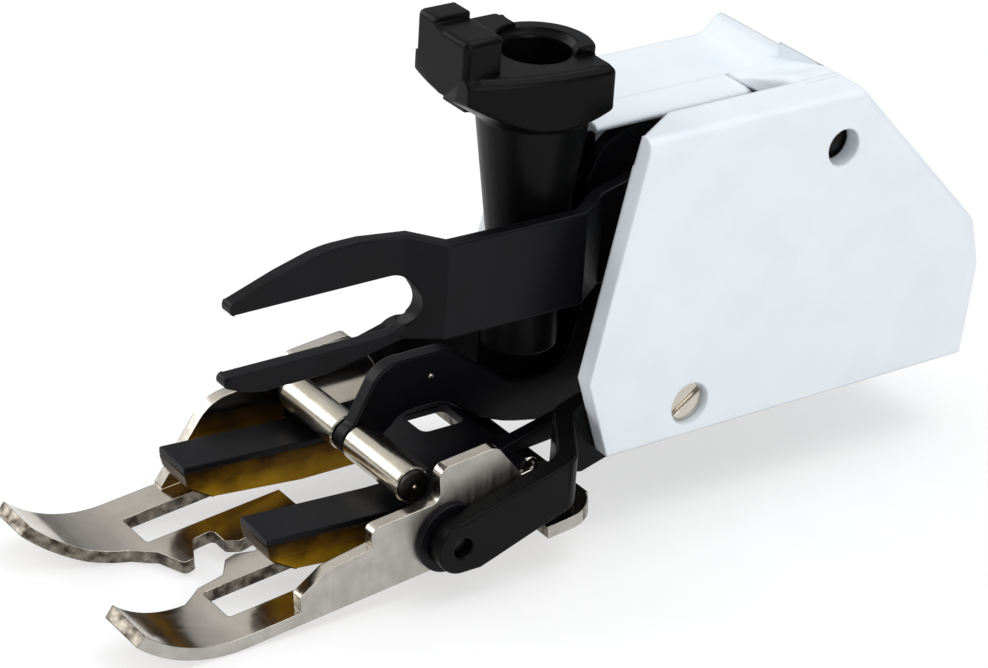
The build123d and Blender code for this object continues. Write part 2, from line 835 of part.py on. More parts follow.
# Feed carriage: two prongs, a web with a window and an upright tail
prong_outside = prong_inside + prong_width
prong_points = [
    at(prong_bend, carriage_low),
    at(prong_bend, carriage_top),
    at(prong_front, carriage_top + prong_rise),
    at(prong_front, carriage_low + prong_rise),
]
with BuildPart() as feed_carriage:
    with BuildSketch(Plane.XY.offset(level(carriage_low))):
        with BuildLine():
            Polyline(
                (-prong_outside, prong_bend),
                (prong_outside, prong_bend),
                (prong_outside, web_back - 2.0),
                (web_waist, web_back),
                (-web_waist, web_back),
                (-prong_outside, web_back - 2.0),
                close=True,
            )
        make_face()
        with Locations((0, web_front - reach / 2)):
            Rectangle(2 * prong_inside, reach, mode=Mode.SUBTRACT)
        with Locations((window_middle, (web_front + web_back) / 2 + 1.0)):
            RectangleRounded(window_width, web_window_long, window_round, mode=Mode.SUBTRACT)
    extrude(amount=carriage_sheet)
    # the prongs rise a little towards their tips
    with BuildSketch(side(-prong_outside), side(prong_inside)):
        with BuildLine():
            Polyline(*prong_points, close=True)
        make_face()
    extrude(amount=prong_width)
    with BuildSketch(side(tail_inside)) as tail_view:
        with BuildLine():
            Polyline(
                at(web_back - 1.2, carriage_low),
                at(web_back - 1.2, carriage_top),
                at(link_back, link_height + tail_radius),
                at(link_back, link_height - tail_radius),
                close=True,
            )
        make_face()
        with Locations(at(link_back, link_height)):
            Circle(tail_radius)
            Circle(link_pin_radius + running_fit, mode=Mode.SUBTRACT)
    extrude(amount=tail_sheet)
feed_carriage.part.label = "feed_carriage"
export_step(feed_carriage.part, "parts/feed_carriage.step")


# Side views of a pad's two tiers: the body under the prong and the narrower tread
pad_points = [
    at(prong_front, carriage_low + prong_rise),
    at(prong_front + pad_front_slope, pad_low + prong_rise),
    at(prong_bend, pad_low),
    at(web_front, pad_low),
    at(web_front, carriage_low),
    at(prong_bend, carriage_low),
]
tread_points = [
    at(prong_front + pad_front_slope, pad_low + prong_rise),
    at(prong_front + 2 * pad_front_slope, tread_nose_height),
    at(tread_front, tread_low + tread_rise),
    at(prong_bend, tread_low),
    at(tread_back, tread_low),
    at(tread_back, pad_low),
    at(prong_bend, pad_low),
]

with BuildPart() as feed_pad_near:
    with BuildSketch(side(prong_inside)):
        with BuildLine():
            Polyline(*pad_points, close=True)
        make_face()
    extrude(amount=prong_width)
    with BuildSketch(side(prong_inside + tread_inset)) as near_tread:
        with BuildLine():
            Polyline(*tread_points, close=True)
        make_face()
        fillet(near_tread.vertices().sort_by(Axis.X)[1:3], tread_round)
    extrude(amount=prong_width - 2 * tread_inset)
feed_pad_near.part.label = "feed_pad_near"
export_step(feed_pad_near.part, "parts/feed_pad_near.step")

with BuildPart() as feed_pad_far:
    with BuildSketch(side(-prong_outside)):
        with BuildLine():
            Polyline(*pad_points, close=True)
        make_face()
    extrude(amount=prong_width)
    with BuildSketch(side(-prong_outside + tread_inset)) as far_tread:
        with BuildLine():
            Polyline(*tread_points, close=True)
        make_face()
        fillet(far_tread.vertices().sort_by(Axis.X)[1:3], tread_round)
    extrude(amount=prong_width - 2 * tread_inset)
feed_pad_far.part.label = "feed_pad_far"
export_step(feed_pad_far.part, "parts/feed_pad_far.step")

# Sole plate: the side view of the bent sheet crossed with its plan, and the two folded flanges
sole_low = -pivot_height
bend_turn = math.degrees(math.asin((toe_bend - toe_tip) / toe_radius))
# gap between the toes, with the two prongs at the needle's arch
with BuildSketch() as toe_gap:
    with BuildLine():
        Polyline(
            (-6.0, toe_tip - sole_sheet),
            (-6.0, toe_tip),
            (-4.2, toe_tip + 3.7),
            (-3.4, toe_tip + 6.5),
            (-2.2, window_front),
            (0.0, window_front + 0.8),
            (-0.15, window_front + 1.6),
            (-2.1, window_front + 2.6),
            (-2.2, window_front + 4.2),
            (-0.6, window_front + 4.2),
            (0.0, window_front + 5.0),
            (-0.2, window_front + 6.2),
            (1.0, window_front + 6.8),
            (1.6, window_front + 5.2),
            (1.1, window_front + 4.0),
            (1.3, window_front + 3.1),
            (2.7, window_front + 2.1),
            (3.0, window_front),
            (4.2, toe_tip + 6.3),
            (5.4, toe_tip),
            (5.4, toe_tip - sole_sheet),
            close=True,
        )
    make_face()
    fillet(toe_gap.vertices().sort_by(Axis.Y)[4:], gap_round)

with BuildPart() as sole_plate:
    with BuildSketch(sole_side) as sole_view:
        with BuildLine() as sole_line:
            Line((sole_rear, sole_low), (toe_bend, sole_low))
            CenterArc((toe_bend, sole_low + toe_radius), toe_radius, 270, -bend_turn)
            offset(amount=sole_sheet, side=Side.RIGHT, closed=True)
        make_face()
    extrude(amount=lip_half_width, both=True)
    with BuildSketch(sole_plane.offset(sole_low - toe_radius)) as sole_plan:
        with BuildLine():
            Polyline(
                (-sole_half_width, toe_tip - sole_sheet),
                (-sole_half_width, sole_notch),
                (-lip_half_width, sole_notch),
                (-lip_half_width, sole_rear),
                (lip_half_width, sole_rear),
                (lip_half_width, sole_notch),
                (sole_half_width, sole_notch),
                (sole_half_width, toe_tip - sole_sheet),
                close=True,
            )
        make_face()
        fillet(sole_plan.vertices().group_by(Axis.Y)[-1], lip_round)
        add(toe_gap.sketch, mode=Mode.SUBTRACT)
        # pad windows that run back into the large opening
        pad_window = window_outside - window_inside
        pad_middle = (window_inside + window_outside) / 2
        with Locations((-pad_middle, window_front + reach / 4), (pad_middle, window_front + reach / 4)):
            RectangleRounded(pad_window, reach / 2, toe_window_round, mode=Mode.SUBTRACT)
        with Locations((0, (opening_front + opening_back) / 2)):
            RectangleRounded(
                2 * opening_half_width, opening_back - opening_front, window_round, mode=Mode.SUBTRACT
            )
        with Locations((0, (opening_back + sole_rear) / 2)):
            Rectangle(2 * sole_half_width, sole_rear - opening_back)
    extrude(amount=3 * toe_radius, mode=Mode.INTERSECT)
    with BuildSketch(sole_side.offset(flange_inside)) as near_flange_view:
        with BuildLine():
            Polyline(
                (flange_front, sole_low),
                (flange_front, sole_low + flange_front_height),
                (flange_ramp, sole_low + flange_ramp_height),
                (flange_step, sole_low + flange_step_low),
                (flange_step, sole_low + flange_step_height),
                (ear_front, sole_low + flange_step_height),
                (ear_front, sole_low + ear_height),
                (ear_back, sole_low + ear_height),
                (flange_back, sole_low + flange_back_height),
                (flange_back, sole_low),
                close=True,
            )
        make_face()
        fillet(near_flange_view.vertices().group_by(Axis.Y)[-1], ear_round)
        Circle(sole_pin_radius + running_fit, mode=Mode.SUBTRACT)
    extrude(amount=sole_sheet)
    with BuildSketch(sole_side.offset(-sole_half_width)) as far_flange_view:
        with BuildLine():
            Polyline(
                (flange_front, sole_low),
                (flange_front, sole_low + far_front_height),
                (far_crown_front, sole_low + far_crown_height),
                (far_crown_back, sole_low + far_crown_height),
                (ear_front, sole_low + ear_height),
                (ear_back, sole_low + ear_height),
                (flange_back, sole_low + flange_back_height),
                (flange_back, sole_low),
                close=True,
            )
        make_face()
        far_corners = far_flange_view.vertices().sort_by(Axis.X)
        fillet(far_corners[2], far_crown_round)
        fillet(far_flange_view.vertices().group_by(Axis.Y)[-1], ear_round)
        Circle(sole_pin_radius + running_fit, mode=Mode.SUBTRACT)
    extrude(amount=sole_sheet)
sole_plate.part.label = "sole_plate"
export_step(sole_plate.part, "parts/sole_plate.step")

# Sole pins with their washers between flange and arm
pin_inner = flange_inside - sole_pin_reach
pin_outer = arm_outside - sole_pin_recess
with BuildPart() as sole_pin_near:
    with BuildSketch(across(pivot_back, pivot_height, pin_inner)):
        Circle(sole_pin_radius)
    extrude(amount=pin_outer - pin_inner)
sole_pin_near.part.label = "sole_pin_near"
export_step(sole_pin_near.part, "parts/sole_pin_near.step")

with BuildPart() as sole_pin_far:
    with BuildSketch(across(pivot_back, pivot_height, -pin_outer)):
        Circle(sole_pin_radius)
    extrude(amount=pin_outer - pin_inner)
sole_pin_far.part.label = "sole_pin_far"
export_step(sole_pin_far.part, "parts/sole_pin_far.step")

washer_start = sole_half_width + running_fit
washer_tall = arm_inside - washer_start - running_fit
with BuildPart() as pivot_washer_near:
    with BuildSketch(across(pivot_back, pivot_height, washer_start)):
        Circle(washer_radius)
        Circle(sole_pin_radius + running_fit, mode=Mode.SUBTRACT)
    extrude(amount=washer_tall)
pivot_washer_near.part.label = "pivot_washer_near"
export_step(pivot_washer_near.part, "parts/pivot_washer_near.step")

with BuildPart() as pivot_washer_far:
    with BuildSketch(across(pivot_back, pivot_height, -washer_start - washer_tall)):
        Circle(washer_radius)
        Circle(sole_pin_radius + running_fit, mode=Mode.SUBTRACT)
    extrude(amount=washer_tall)
pivot_washer_far.part.label = "pivot_washer_far"
export_step(pivot_washer_far.part, "parts/pivot_washer_far.step")

# Fork spring: a coil round the far spacer
fork_coil = shaft_radius + spacer_wall + spring_wire / 2 + spring_room
fork_coil_start = plate_half + side_play + spring_wire / 2
fork_coil_tall = fork_inside - plate_half - 2 * side_play - spring_wire
with BuildPart() as fork_spring:
    with BuildLine() as fork_coil_path:
        Helix(
            pitch=spring_pitch,
            height=fork_coil_tall,
            radius=fork_coil,
            center=(fork_coil_start, shaft_back, level(shaft_height)),
            direction=(1, 0, 0),
        )
    with BuildSketch(Plane(fork_coil_path.line @ 0, z_dir=fork_coil_path.line % 0)):
        RegularPolygon(spring_wire / 2, wire_sides)
    sweep(path=fork_coil_path.line, is_frenet=True)
fork_spring.part.label = "fork_spring"
export_step(fork_spring.part, "parts/fork_spring.step")

# Sole spring: a coil round the near sole pin, with a leg that ends in a hook behind the flange
sole_coil = sole_pin_radius + spring_wire / 2 + spring_room
sole_coil_start = pin_inner + spring_wire / 2
sole_coil_tall = flange_inside - side_play - spring_wire - pin_inner
sole_leg_side = sole_coil_start + sole_coil_tall
with BuildPart() as sole_spring:
    with BuildLine() as sole_coil_path:
        Helix(
            pitch=sole_coil_tall / sole_coil_turns,
            height=sole_coil_tall,
            radius=sole_coil,
            center=(sole_coil_start, pivot_back, level(pivot_height)),
            direction=(1, 0, 0),
            lefthand=True,
        )
    with BuildSketch(Plane(sole_coil_path.line @ 0, z_dir=sole_coil_path.line % 0)):
        RegularPolygon(spring_wire / 2, wire_sides)
    sweep(path=sole_coil_path.line, is_frenet=True)
    with BuildLine(side(sole_leg_side)) as sole_leg_path:
        sole_leg = Line(at(pivot_back - spring_wire, pivot_height + sole_coil), at(hook_back, hook_height))
        JernArc(sole_leg @ 1, sole_leg % 1, hook_radius, 200)
    with BuildSketch(Plane(sole_leg_path.line @ 0, z_dir=sole_leg_path.line % 0)):
        RegularPolygon(spring_wire / 2, wire_sides)
    sweep(path=sole_leg_path.line)
sole_spring.part.label = "sole_spring"
export_step(sole_spring.part, "parts/sole_spring.step")
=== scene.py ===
"""Dresses a walking presser foot for a sewing machine: enamel, nickel, amber pads and a white housing."""

import logging
import math
from dataclasses import dataclass, field
from enum import Enum
from typing import Any, Callable, Optional

import bmesh
import bpy
from bmesh.types import BMEdge, BMesh, BMFace, BMVert
from bpy.types import Material, Mesh, MeshPolygon, Node, NodeSocket, NodeTree, Object
from mathutils import Matrix, Vector


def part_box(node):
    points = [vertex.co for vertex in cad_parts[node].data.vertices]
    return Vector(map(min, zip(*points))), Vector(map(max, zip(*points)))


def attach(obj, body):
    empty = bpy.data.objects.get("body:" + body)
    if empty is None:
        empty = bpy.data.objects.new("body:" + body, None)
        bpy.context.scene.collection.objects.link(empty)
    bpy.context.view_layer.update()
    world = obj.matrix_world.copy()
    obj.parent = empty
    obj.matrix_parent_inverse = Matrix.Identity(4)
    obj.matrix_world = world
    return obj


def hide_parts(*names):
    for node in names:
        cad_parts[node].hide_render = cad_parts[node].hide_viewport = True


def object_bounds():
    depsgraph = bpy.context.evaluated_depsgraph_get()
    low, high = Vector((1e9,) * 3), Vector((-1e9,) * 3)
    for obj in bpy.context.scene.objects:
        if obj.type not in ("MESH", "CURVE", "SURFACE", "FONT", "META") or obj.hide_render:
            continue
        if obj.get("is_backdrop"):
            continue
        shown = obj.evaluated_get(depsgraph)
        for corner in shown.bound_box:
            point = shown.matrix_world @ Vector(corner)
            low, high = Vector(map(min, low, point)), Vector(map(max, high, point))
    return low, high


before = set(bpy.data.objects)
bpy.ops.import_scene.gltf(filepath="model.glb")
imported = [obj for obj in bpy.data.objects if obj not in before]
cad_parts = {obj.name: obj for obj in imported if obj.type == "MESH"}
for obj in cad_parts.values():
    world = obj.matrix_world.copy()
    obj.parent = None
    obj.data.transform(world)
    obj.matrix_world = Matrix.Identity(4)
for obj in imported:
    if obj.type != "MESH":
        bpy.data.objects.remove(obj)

LOG = logging.getLogger("presser_foot")
# One millimetre in metres, the photograph's width in pixels and a whole turn in radians.
MM = 0.001
PHOTO_WIDTH = 988
FULL_TURN = 2.0 * math.pi
# Height of the frame's zero, the bar socket's mouth, above the needle plate in millimetres.
SOCKET_MOUTH = 30.8
# Corners closer than this are one, and faces that turn by less than this are one flat.
WELD_MM = 0.002
FLAT_DEG = 0.6
# A corner is rounded by at most this share of the edges beside it, in this many steps, and is left
# alone where that comes to less than this many millimetres.
ROUND_SHARE = 0.45
ROUND_STEPS = 4
ROUND_LEAST = 0.1
# Edges keener than this angle, without this many edge widths of room or beside a sliver aren't broken.
KNIFE_EDGE = 125.0
BEVEL_ROOM = 1.2
SLIVER_COSINE = 0.985
# Steps of a broken edge, and rays that soften an edge in a finish.
EDGE_STEPS = 3
EDGE_RAYS = 8
# Angles above which an edge is sharp: on most pieces, on turned ones, and on wire and domes.
CORNER_DEG = 32.0
TURNED_DEG = 30.0
ROUND_DEG = 60.0
# Cosine above which an edge counts as running in a direction.
ALONG = 0.99
# The part of a noise texture's range that the fine marks use.
NOISE_LOW = 0.3
NOISE_HIGH = 0.7
# Depth of the fine relief on a surface in millimetres.
RELIEF_MM = 0.05


def srgb(code: str) -> tuple[float, float, float, float]:
    """Turns an sRGB hex colour into the linear one that a shader reads.

    Args:
        code: six hex digits.

    Returns:
        Linear red, green, blue and a full alpha.
    """
    parts = [int(code[i : i + 2], 16) / 255.0 for i in (0, 2, 4)]
    linear = [c / 12.92 if c <= 0.04045 else ((c + 0.055) / 1.055) ** 2.4 for c in parts]
    return (linear[0], linear[1], linear[2], 1.0)


def per_mm(size_mm: float) -> float:
    """Gives a texture scale whose features are about the given number of millimetres apart."""
    return 1.0 / (size_mm * MM)


def height(above_plate: float) -> float:
    """Gives the frame's Z in metres for a height in millimetres above the needle plate."""
    return (above_plate - SOCKET_MOUTH) * MM


def spot(across_mm: float, back_mm: float, above_plate: float) -> Vector:
    """Gives a point of the frame from millimetres across, back and above the needle plate."""
    return Vector((across_mm * MM, back_mm * MM, height(above_plate)))


def node(tree: NodeTree, kind: str, sets: Optional[dict[str, Any]] = None, **links: Any) -> Node:
    """Adds one node with its settings, socket values and links.

    Args:
        tree: node tree that gets the node.
        kind: Blender's name of the node's type.
        sets: the node's own properties, by name; stops holds a colour ramp's places and colours.
        links: socket values by name, underscores for spaces, or i and a number;
            an output socket makes a link.

    Returns:
        The new node.
    """
    made = tree.nodes.new(kind)
    for name, value in (sets or {}).items():
        if name != "stops":
            setattr(made, name, value)
            continue
        elements = made.color_ramp.elements
        while len(elements) < len(value):
            elements.new(0.5)
        for element, (place, code) in zip(elements, value):
            element.position = place
            element.color = srgb(code)
    for name, value in links.items():
        key: Any = int(name[1:]) if name[0] == "i" and name[1:].isdigit() else name.replace("_", " ")
        if isinstance(value, NodeSocket):
            tree.links.new(value, made.inputs[key])
        else:
            made.inputs[key].default_value = value
    return made


class Zone(Enum):
    """The finishes of the sole's faces, by their materials' numbers."""

    POLISHED = 0
    GROUND = 1
    # Cut edges, with a darker finish that is a painted dark reflection.
    SHEARED_DARK = 2


class Grain(Enum):
    """How the fine marks on a surface are drawn out."""

    EVEN = (1.0, 1.0, 1.0)
    ALONG_X = (0.08, 1.0, 1.0)
    ALONG_Y = (1.0, 0.08, 1.0)
    UPRIGHT = (1.0, 1.0, 0.1)


@dataclass(frozen=True)
class Finish:
    """One material of the foot: what it is made of and how its surface was made."""

    name: str
    slot: str
    base: str
    shade: str
    roughness: float
    spread: float
    metallic: float = 0.0
    specular: float = 0.5
    mottle_mm: float = 4.0
    mark_mm: float = 0.5
    relief: float = 0.02
    grain: Grain = Grain.EVEN
    edge_mm: float = 0.0

    def material(self) -> Material:
        """Builds the material, or gives the one that was built before.

        Returns:
            The finished material.
        """
        ready = bpy.data.materials.get(self.name)
        if ready is not None:
            return ready
        made = bpy.data.materials.new(self.name)
        made.use_nodes = True
        made.diffuse_color = srgb(self.base)
        tree = made.node_tree
        tree.nodes.clear()
        place = node(tree, "ShaderNodeTexCoord").outputs["Object"]
        shader = self.shade_surface(tree, place, self.colour(tree, place))
        node(tree, "ShaderNodeOutputMaterial", Surface=shader.outputs["BSDF"])
        return made

    def colour(self, tree: NodeTree, place: NodeSocket) -> NodeSocket:
        """Builds a colour that drifts softly between the base and the shade.

        Args:
            tree: the material's node tree.
            place: Object coordinates.

        Returns:
            The colour output.
        """
        mottle = node(tree, "ShaderNodeTexNoise", Vector=place, Scale=per_mm(self.mottle_mm), Detail=4.0)
        stops = [(0.35, self.shade), (0.65, self.base)]
        ramp = node(tree, "ShaderNodeValToRGB", {"stops": stops}, Fac=mottle.outputs["Fac"])
        return ramp.outputs["Color"]

    def shade_surface(self, tree: NodeTree, place: NodeSocket, colour: NodeSocket) -> Node:
        """Builds the surface shader with uneven gloss, softened edges and fine relief along the grain.

        Args:
            tree: the material's node tree.
            place: Object coordinates.
            colour: the surface's colour.

        Returns:
            The surface shader node.
        """
        drawn = node(tree, "ShaderNodeMapping", Vector=place, Scale=self.grain.value).outputs["Vector"]
        marks = node(tree, "ShaderNodeTexNoise", Vector=drawn, Scale=per_mm(self.mark_mm), Detail=5.0)
        gloss = node(
            tree,
            "ShaderNodeMapRange",
            Value=marks.outputs["Fac"],
            From_Min=NOISE_LOW,
            From_Max=NOISE_HIGH,
            To_Min=self.roughness - self.spread,
            To_Max=self.roughness + self.spread,
        )
        soft = node(tree, "ShaderNodeBevel", {"samples": EDGE_RAYS}, Radius=self.edge_mm * MM)
        bump = node(
            tree,
            "ShaderNodeBump",
            Strength=self.relief,
            Distance=RELIEF_MM * MM,
            Height=marks.outputs["Fac"],
            Normal=soft.outputs["Normal"],
        )
        return node(
            tree,
            "ShaderNodeBsdfPrincipled",
            Base_Color=colour,
            Roughness=gloss.outputs["Result"],
            Metallic=self.metallic,
            Specular_IOR_Level=self.specular,
            Normal=bump.outputs["Normal"],
        )


@dataclass(frozen=True)
class AmberRubber(Finish):
    """Cast polyurethane: clear amber, with painted shade that turns it like dark honey up under the prongs
    and on its front face.
    """

    # The painted shade: its colour, the heights over which it darkens the pad upwards and the front face it
    # darkens, in millimetres.
    painted_shade: str = "2a1a05"
    shade_start_mm: float = 0.9
    shade_full_mm: float = 3.4
    shaded_face_mm: float = -24.1
    shaded_face_run_mm: float = 1.1
    clear: float = 0.04
    ior: float = 1.5
    glow: float = 0.2
    glow_mm: tuple[float, float, float] = (1.0, 0.6, 0.1)

    def colour(self, tree: NodeTree, place: NodeSocket) -> NodeSocket:
        """Builds a colour with painted shade, darker upwards and at the front face, with clouds and flow
        lines in it.

        Args:
            tree: the material's node tree.
            place: Object coordinates.

        Returns:
            The colour output.
        """
        split = node(tree, "ShaderNodeSeparateXYZ", Vector=place)
        # Painted shade: the colour darkens upwards, up under the prongs.
        rise = node(
            tree,
            "ShaderNodeMapRange",
            Value=split.outputs["Z"],
            From_Min=height(self.shade_start_mm),
            From_Max=height(self.shade_full_mm),
        )
        cloud = node(tree, "ShaderNodeTexNoise", Vector=place, Scale=per_mm(self.mottle_mm), Detail=3.0)
        drift = node(tree, "ShaderNodeMath", {"operation": "SUBTRACT"}, i0=cloud.outputs["Fac"], i1=0.5)
        shade_and_cloud = node(
            tree, "ShaderNodeMath", {"operation": "ADD"}, i0=rise.outputs["Result"], i1=drift.outputs[0]
        )
        stops = [(0.1, self.base), (0.55, self.shade), (1.0, self.painted_shade)]
        body = node(tree, "ShaderNodeValToRGB", {"stops": stops}, Fac=shade_and_cloud.outputs[0])
        # Painted shade on the pad's front face.
        back = node(
            tree,
            "ShaderNodeMapRange",
            Value=split.outputs["Y"],
            From_Min=self.shaded_face_mm * MM,
            From_Max=(self.shaded_face_mm + self.shaded_face_run_mm) * MM,
        )
        mixed = node(
            tree,
            "ShaderNodeMix",
            {"data_type": "RGBA"},
            Factor=back.outputs["Result"],
            i6=srgb(self.painted_shade),
            i7=body.outputs["Color"],
        )
        return mixed.outputs[2]

    def shade_surface(self, tree: NodeTree, place: NodeSocket, colour: NodeSocket) -> Node:
        """Builds a clear-bodied shader with a smooth moulded skin.

        Args:
            tree: the material's node tree.
            place: Object coordinates.
            colour: the body's colour.

        Returns:
            The surface shader node.
        """
        skin = node(tree, "ShaderNodeTexNoise", Vector=place, Scale=per_mm(self.mark_mm), Detail=2.0)
        bump = node(
            tree, "ShaderNodeBump", Strength=self.relief, Distance=RELIEF_MM * MM, Height=skin.outputs["Fac"]
        )
        return node(
            tree,
            "ShaderNodeBsdfPrincipled",
            Base_Color=colour,
            Roughness=self.roughness,
            Specular_IOR_Level=self.specular,
            Transmission_Weight=self.clear,
            IOR=self.ior,
            Subsurface_Weight=self.glow,
            Subsurface_Radius=tuple(reach * MM for reach in self.glow_mm),
            Subsurface_Scale=1.0,
            Normal=bump.outputs["Normal"],
        )


@dataclass(frozen=True)
class MouldedAbs(Finish):
    """Moulded plastic with a faint rub mark low on its near side."""

    rub: str = "b9bfc6"
    rub_mm: tuple[float, float, float] = (8.75, 4.9, 9.8)
    rub_reach_mm: float = 2.2
    rub_weight: float = 0.3
    streak_mm: float = 0.7

    def colour(self, tree: NodeTree, place: NodeSocket) -> NodeSocket:
        """Builds the cool white with its rub mark.

        Args:
            tree: the material's node tree.
            place: Object coordinates.

        Returns:
            The colour output.
        """
        white = super().colour(tree, place)
        away = node(
            tree, "ShaderNodeVectorMath", {"operation": "DISTANCE"}, i0=place, i1=spot(*self.rub_mm)
        )
        near = node(
            tree,
            "ShaderNodeMapRange",
            Value=away.outputs["Value"],
            From_Min=0.0,
            From_Max=self.rub_reach_mm * MM,
            To_Min=self.rub_weight,
            To_Max=0.0,
        )
        streak = node(tree, "ShaderNodeTexNoise", Vector=place, Scale=per_mm(self.streak_mm), Detail=4.0)
        mark = node(
            tree,
            "ShaderNodeMath",
            {"operation": "MULTIPLY"},
            i0=near.outputs["Result"],
            i1=streak.outputs["Fac"],
        )
        mixed = node(
            tree,
            "ShaderNodeMix",
            {"data_type": "RGBA"},
            Factor=mark.outputs[0],
            i6=white,
            i7=srgb(self.rub),
        )
        return mixed.outputs[2]


# The fine marks below (mark_mm) are drawn coarser than the real ones, so that they show in a render.
# Stoved enamel on the casting: deep black with a soft skin that catches long pale highlights.
ENAMEL = Finish(
    "gloss_black_enamel", "black_enamel", "09090a", "060607", 0.33, 0.04, specular=0.09, mark_mm=0.9
)
# Black-oxide coat on the levers: satin, a little blue-grey where the light skims it.
SATIN_COAT = Finish(
    "satin_black_coat", "satin_black", "0b0b0f", "08080b", 0.38, 0.04, specular=0.13, mark_mm=0.6
)
# Bright nickel plate on polished sheet: warm mirror with faint polishing streaks along the sheet.
NICKEL = Finish(
    "bright_nickel_plate",
    "bright_nickel",
    "cfc8bd",
    "bdb5a8",
    0.15,
    0.04,
    1.0,
    grain=Grain.ALONG_Y,
    relief=0.05,
    edge_mm=0.1,
)
# Nickel over a ground flank: upright grinding hairlines, which spread the light to a pale grey.
GROUND_NICKEL = Finish(
    "ground_nickel_flank",
    "bright_nickel",
    "b8b5ae",
    "a9a69e",
    0.4,
    0.07,
    1.0,
    mottle_mm=1.2,
    mark_mm=0.35,
    relief=0.25,
    grain=Grain.UPRIGHT,
    edge_mm=0.1,
)
# Sheared edge of the plated sheet: torn and rounded, so it is speckled; its darker colour is a painted dark
# reflection.
SHEARED_DARK_NICKEL = Finish(
    "sheared_nickel_edge_painted_dark",
    "bright_nickel",
    "8d867b",
    "3b352e",
    0.3,
    0.1,
    1.0,
    mottle_mm=0.8,
    mark_mm=0.3,
    relief=0.4,
    edge_mm=0.1,
)
# Ground rollers under nickel: long soft highlights between dark bands.
ROLLER_NICKEL = Finish(
    "ground_nickel_roller", "bright_nickel", "cbc5b6", "b0a998", 0.2, 0.04, 1.0, mark_mm=0.3, relief=0.06
)
# Turned steel, oiled: nearly black, with tool marks round it.
OILED_STEEL = Finish("oiled_steel", "dark_steel", "4a4846", "2b2a29", 0.36, 0.08, 1.0, grain=Grain.ALONG_X)
# Drawn spring wire: bright steel with fine lines along the wire.
DRAWN_WIRE = Finish("drawn_spring_wire", "spring_wire", "cdc8be", "aaa59c", 0.2, 0.05, 1.0, mark_mm=0.3)
# Cast polyurethane pads: clear amber, with painted shade that darkens them upwards and at the front.
AMBER = AmberRubber(
    "amber_polyurethane",
    "amber_pad",
    "a9821e",
    "64470b",
    0.3,
    0.0,
    specular=0.04,
    mottle_mm=2.2,
    mark_mm=0.8,
)
# Injection-moulded ABS: cool white with a soft gloss and a skin almost too fine to see.
WHITE_ABS = MouldedAbs(
    "white_moulded_abs", "white_plastic", "dfe6eb", "dbe2e8", 0.38, 0.04, mark_mm=0.8, edge_mm=0.3
)


def cad_copy(name: str) -> BMesh:
    """Copies a CAD node as one joined mesh, with its flat faces whole again.

    Args:
        name: the CAD node's name.

    Returns:
        The copy, to be settled or freed.
    """
    made = bmesh.new()
    made.from_mesh(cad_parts[name].data)
    bmesh.ops.remove_doubles(made, verts=made.verts, dist=WELD_MM * MM)
    bmesh.ops.dissolve_limit(
        made,
        angle_limit=math.radians(FLAT_DEG),
        verts=made.verts,
        edges=made.edges,
        use_dissolve_boundaries=False,
    )
    return made


def turned(made: BMesh, profile: list[tuple[float, float]], axis: Vector, steps: int) -> None:
    """Turns a profile about an axis that runs across the foot.

    Args:
        made: mesh that gets the turned shape.
        profile: places along X and radii in metres, in order; a radius of zero lies on the axis.
        axis: a point on the axis.
        steps: number of sides.
    """
    corners = [made.verts.new((across, axis.y, axis.z + radius)) for across, radius in profile]
    lines = [made.edges.new(pair) for pair in zip(corners, corners[1:])]
    bmesh.ops.spin(
        made, geom=corners + lines, cent=axis, axis=(1, 0, 0), angle=FULL_TURN, steps=steps, use_merge=True
    )
    bmesh.ops.remove_doubles(made, verts=made.verts, dist=WELD_MM * MM)
    bmesh.ops.recalc_face_normals(made, faces=made.faces)


def round_corners(
    made: BMesh, chosen: Callable[[BMEdge], bool], radius_mm: float, least_deg: float = 14.0
) -> None:
    """Rounds the corners of a sheet's outline, each as far as its neighbours leave room.

    Args:
        made: the sheet's mesh.
        chosen: tells whether an edge is a corner to round.
        radius_mm: how far from the corner the curve begins, at most.
        least_deg: corners that turn by less are left alone.
    """
    least = math.radians(least_deg)
    corners = [edge for edge in made.edges if len(edge.link_faces) == 2 and chosen(edge)]
    corners = [edge for edge in corners if edge.calc_face_angle(0.0) > least]
    for corner in corners:
        if not corner.is_valid:
            continue
        beside = [edge for end in corner.verts for edge in end.link_edges if edge is not corner]
        room = ROUND_SHARE * min(edge.calc_length() for edge in beside)
        if room < ROUND_LEAST * MM:
            continue
        bmesh.ops.bevel(
            made,
            geom=[corner],
            offset=min(radius_mm * MM, room),
            offset_type="OFFSET",
            segments=ROUND_STEPS,
            profile=0.5,
            affect="EDGES",
            clamp_overlap=True,
            material=-1,
        )


def runs_across(edge: BMEdge) -> bool:
    """Tells whether an edge runs across the foot, as the corners of an upright sheet's outline do."""
    run = edge.verts[1].co - edge.verts[0].co
    return abs(run.x) > ALONG * run.length


def mark_edges(made: BMesh, edge_mm: float, corner_deg: float) -> None:
    """Marks the sharp edges that have room to be broken.

    Args:
        made: the piece's mesh.
        edge_mm: width of the broken edge.
        corner_deg: edges that turn by more than this count as sharp.
    """
    weight = made.edges.layers.float.new("bevel_weight_edge")
    low, high = math.radians(corner_deg), math.radians(KNIFE_EDGE)
    folds = [edge for edge in made.edges if len(edge.link_faces) == 2]
    sharp = {edge for edge in folds if low < edge.calc_face_angle(0.0) < high}
    for edge in sharp:
        edge[weight] = 1.0
        for end in edge.verts:
            run = (edge.other_vert(end).co - end.co).normalized()
            for beside in (other for other in end.link_edges if other is not edge):
                tight = beside not in sharp and beside.calc_length() < BEVEL_ROOM * edge_mm * MM
                if tight or run.dot((beside.other_vert(end).co - end.co).normalized()) > SLIVER_COSINE:
                    edge[weight] = 0.0


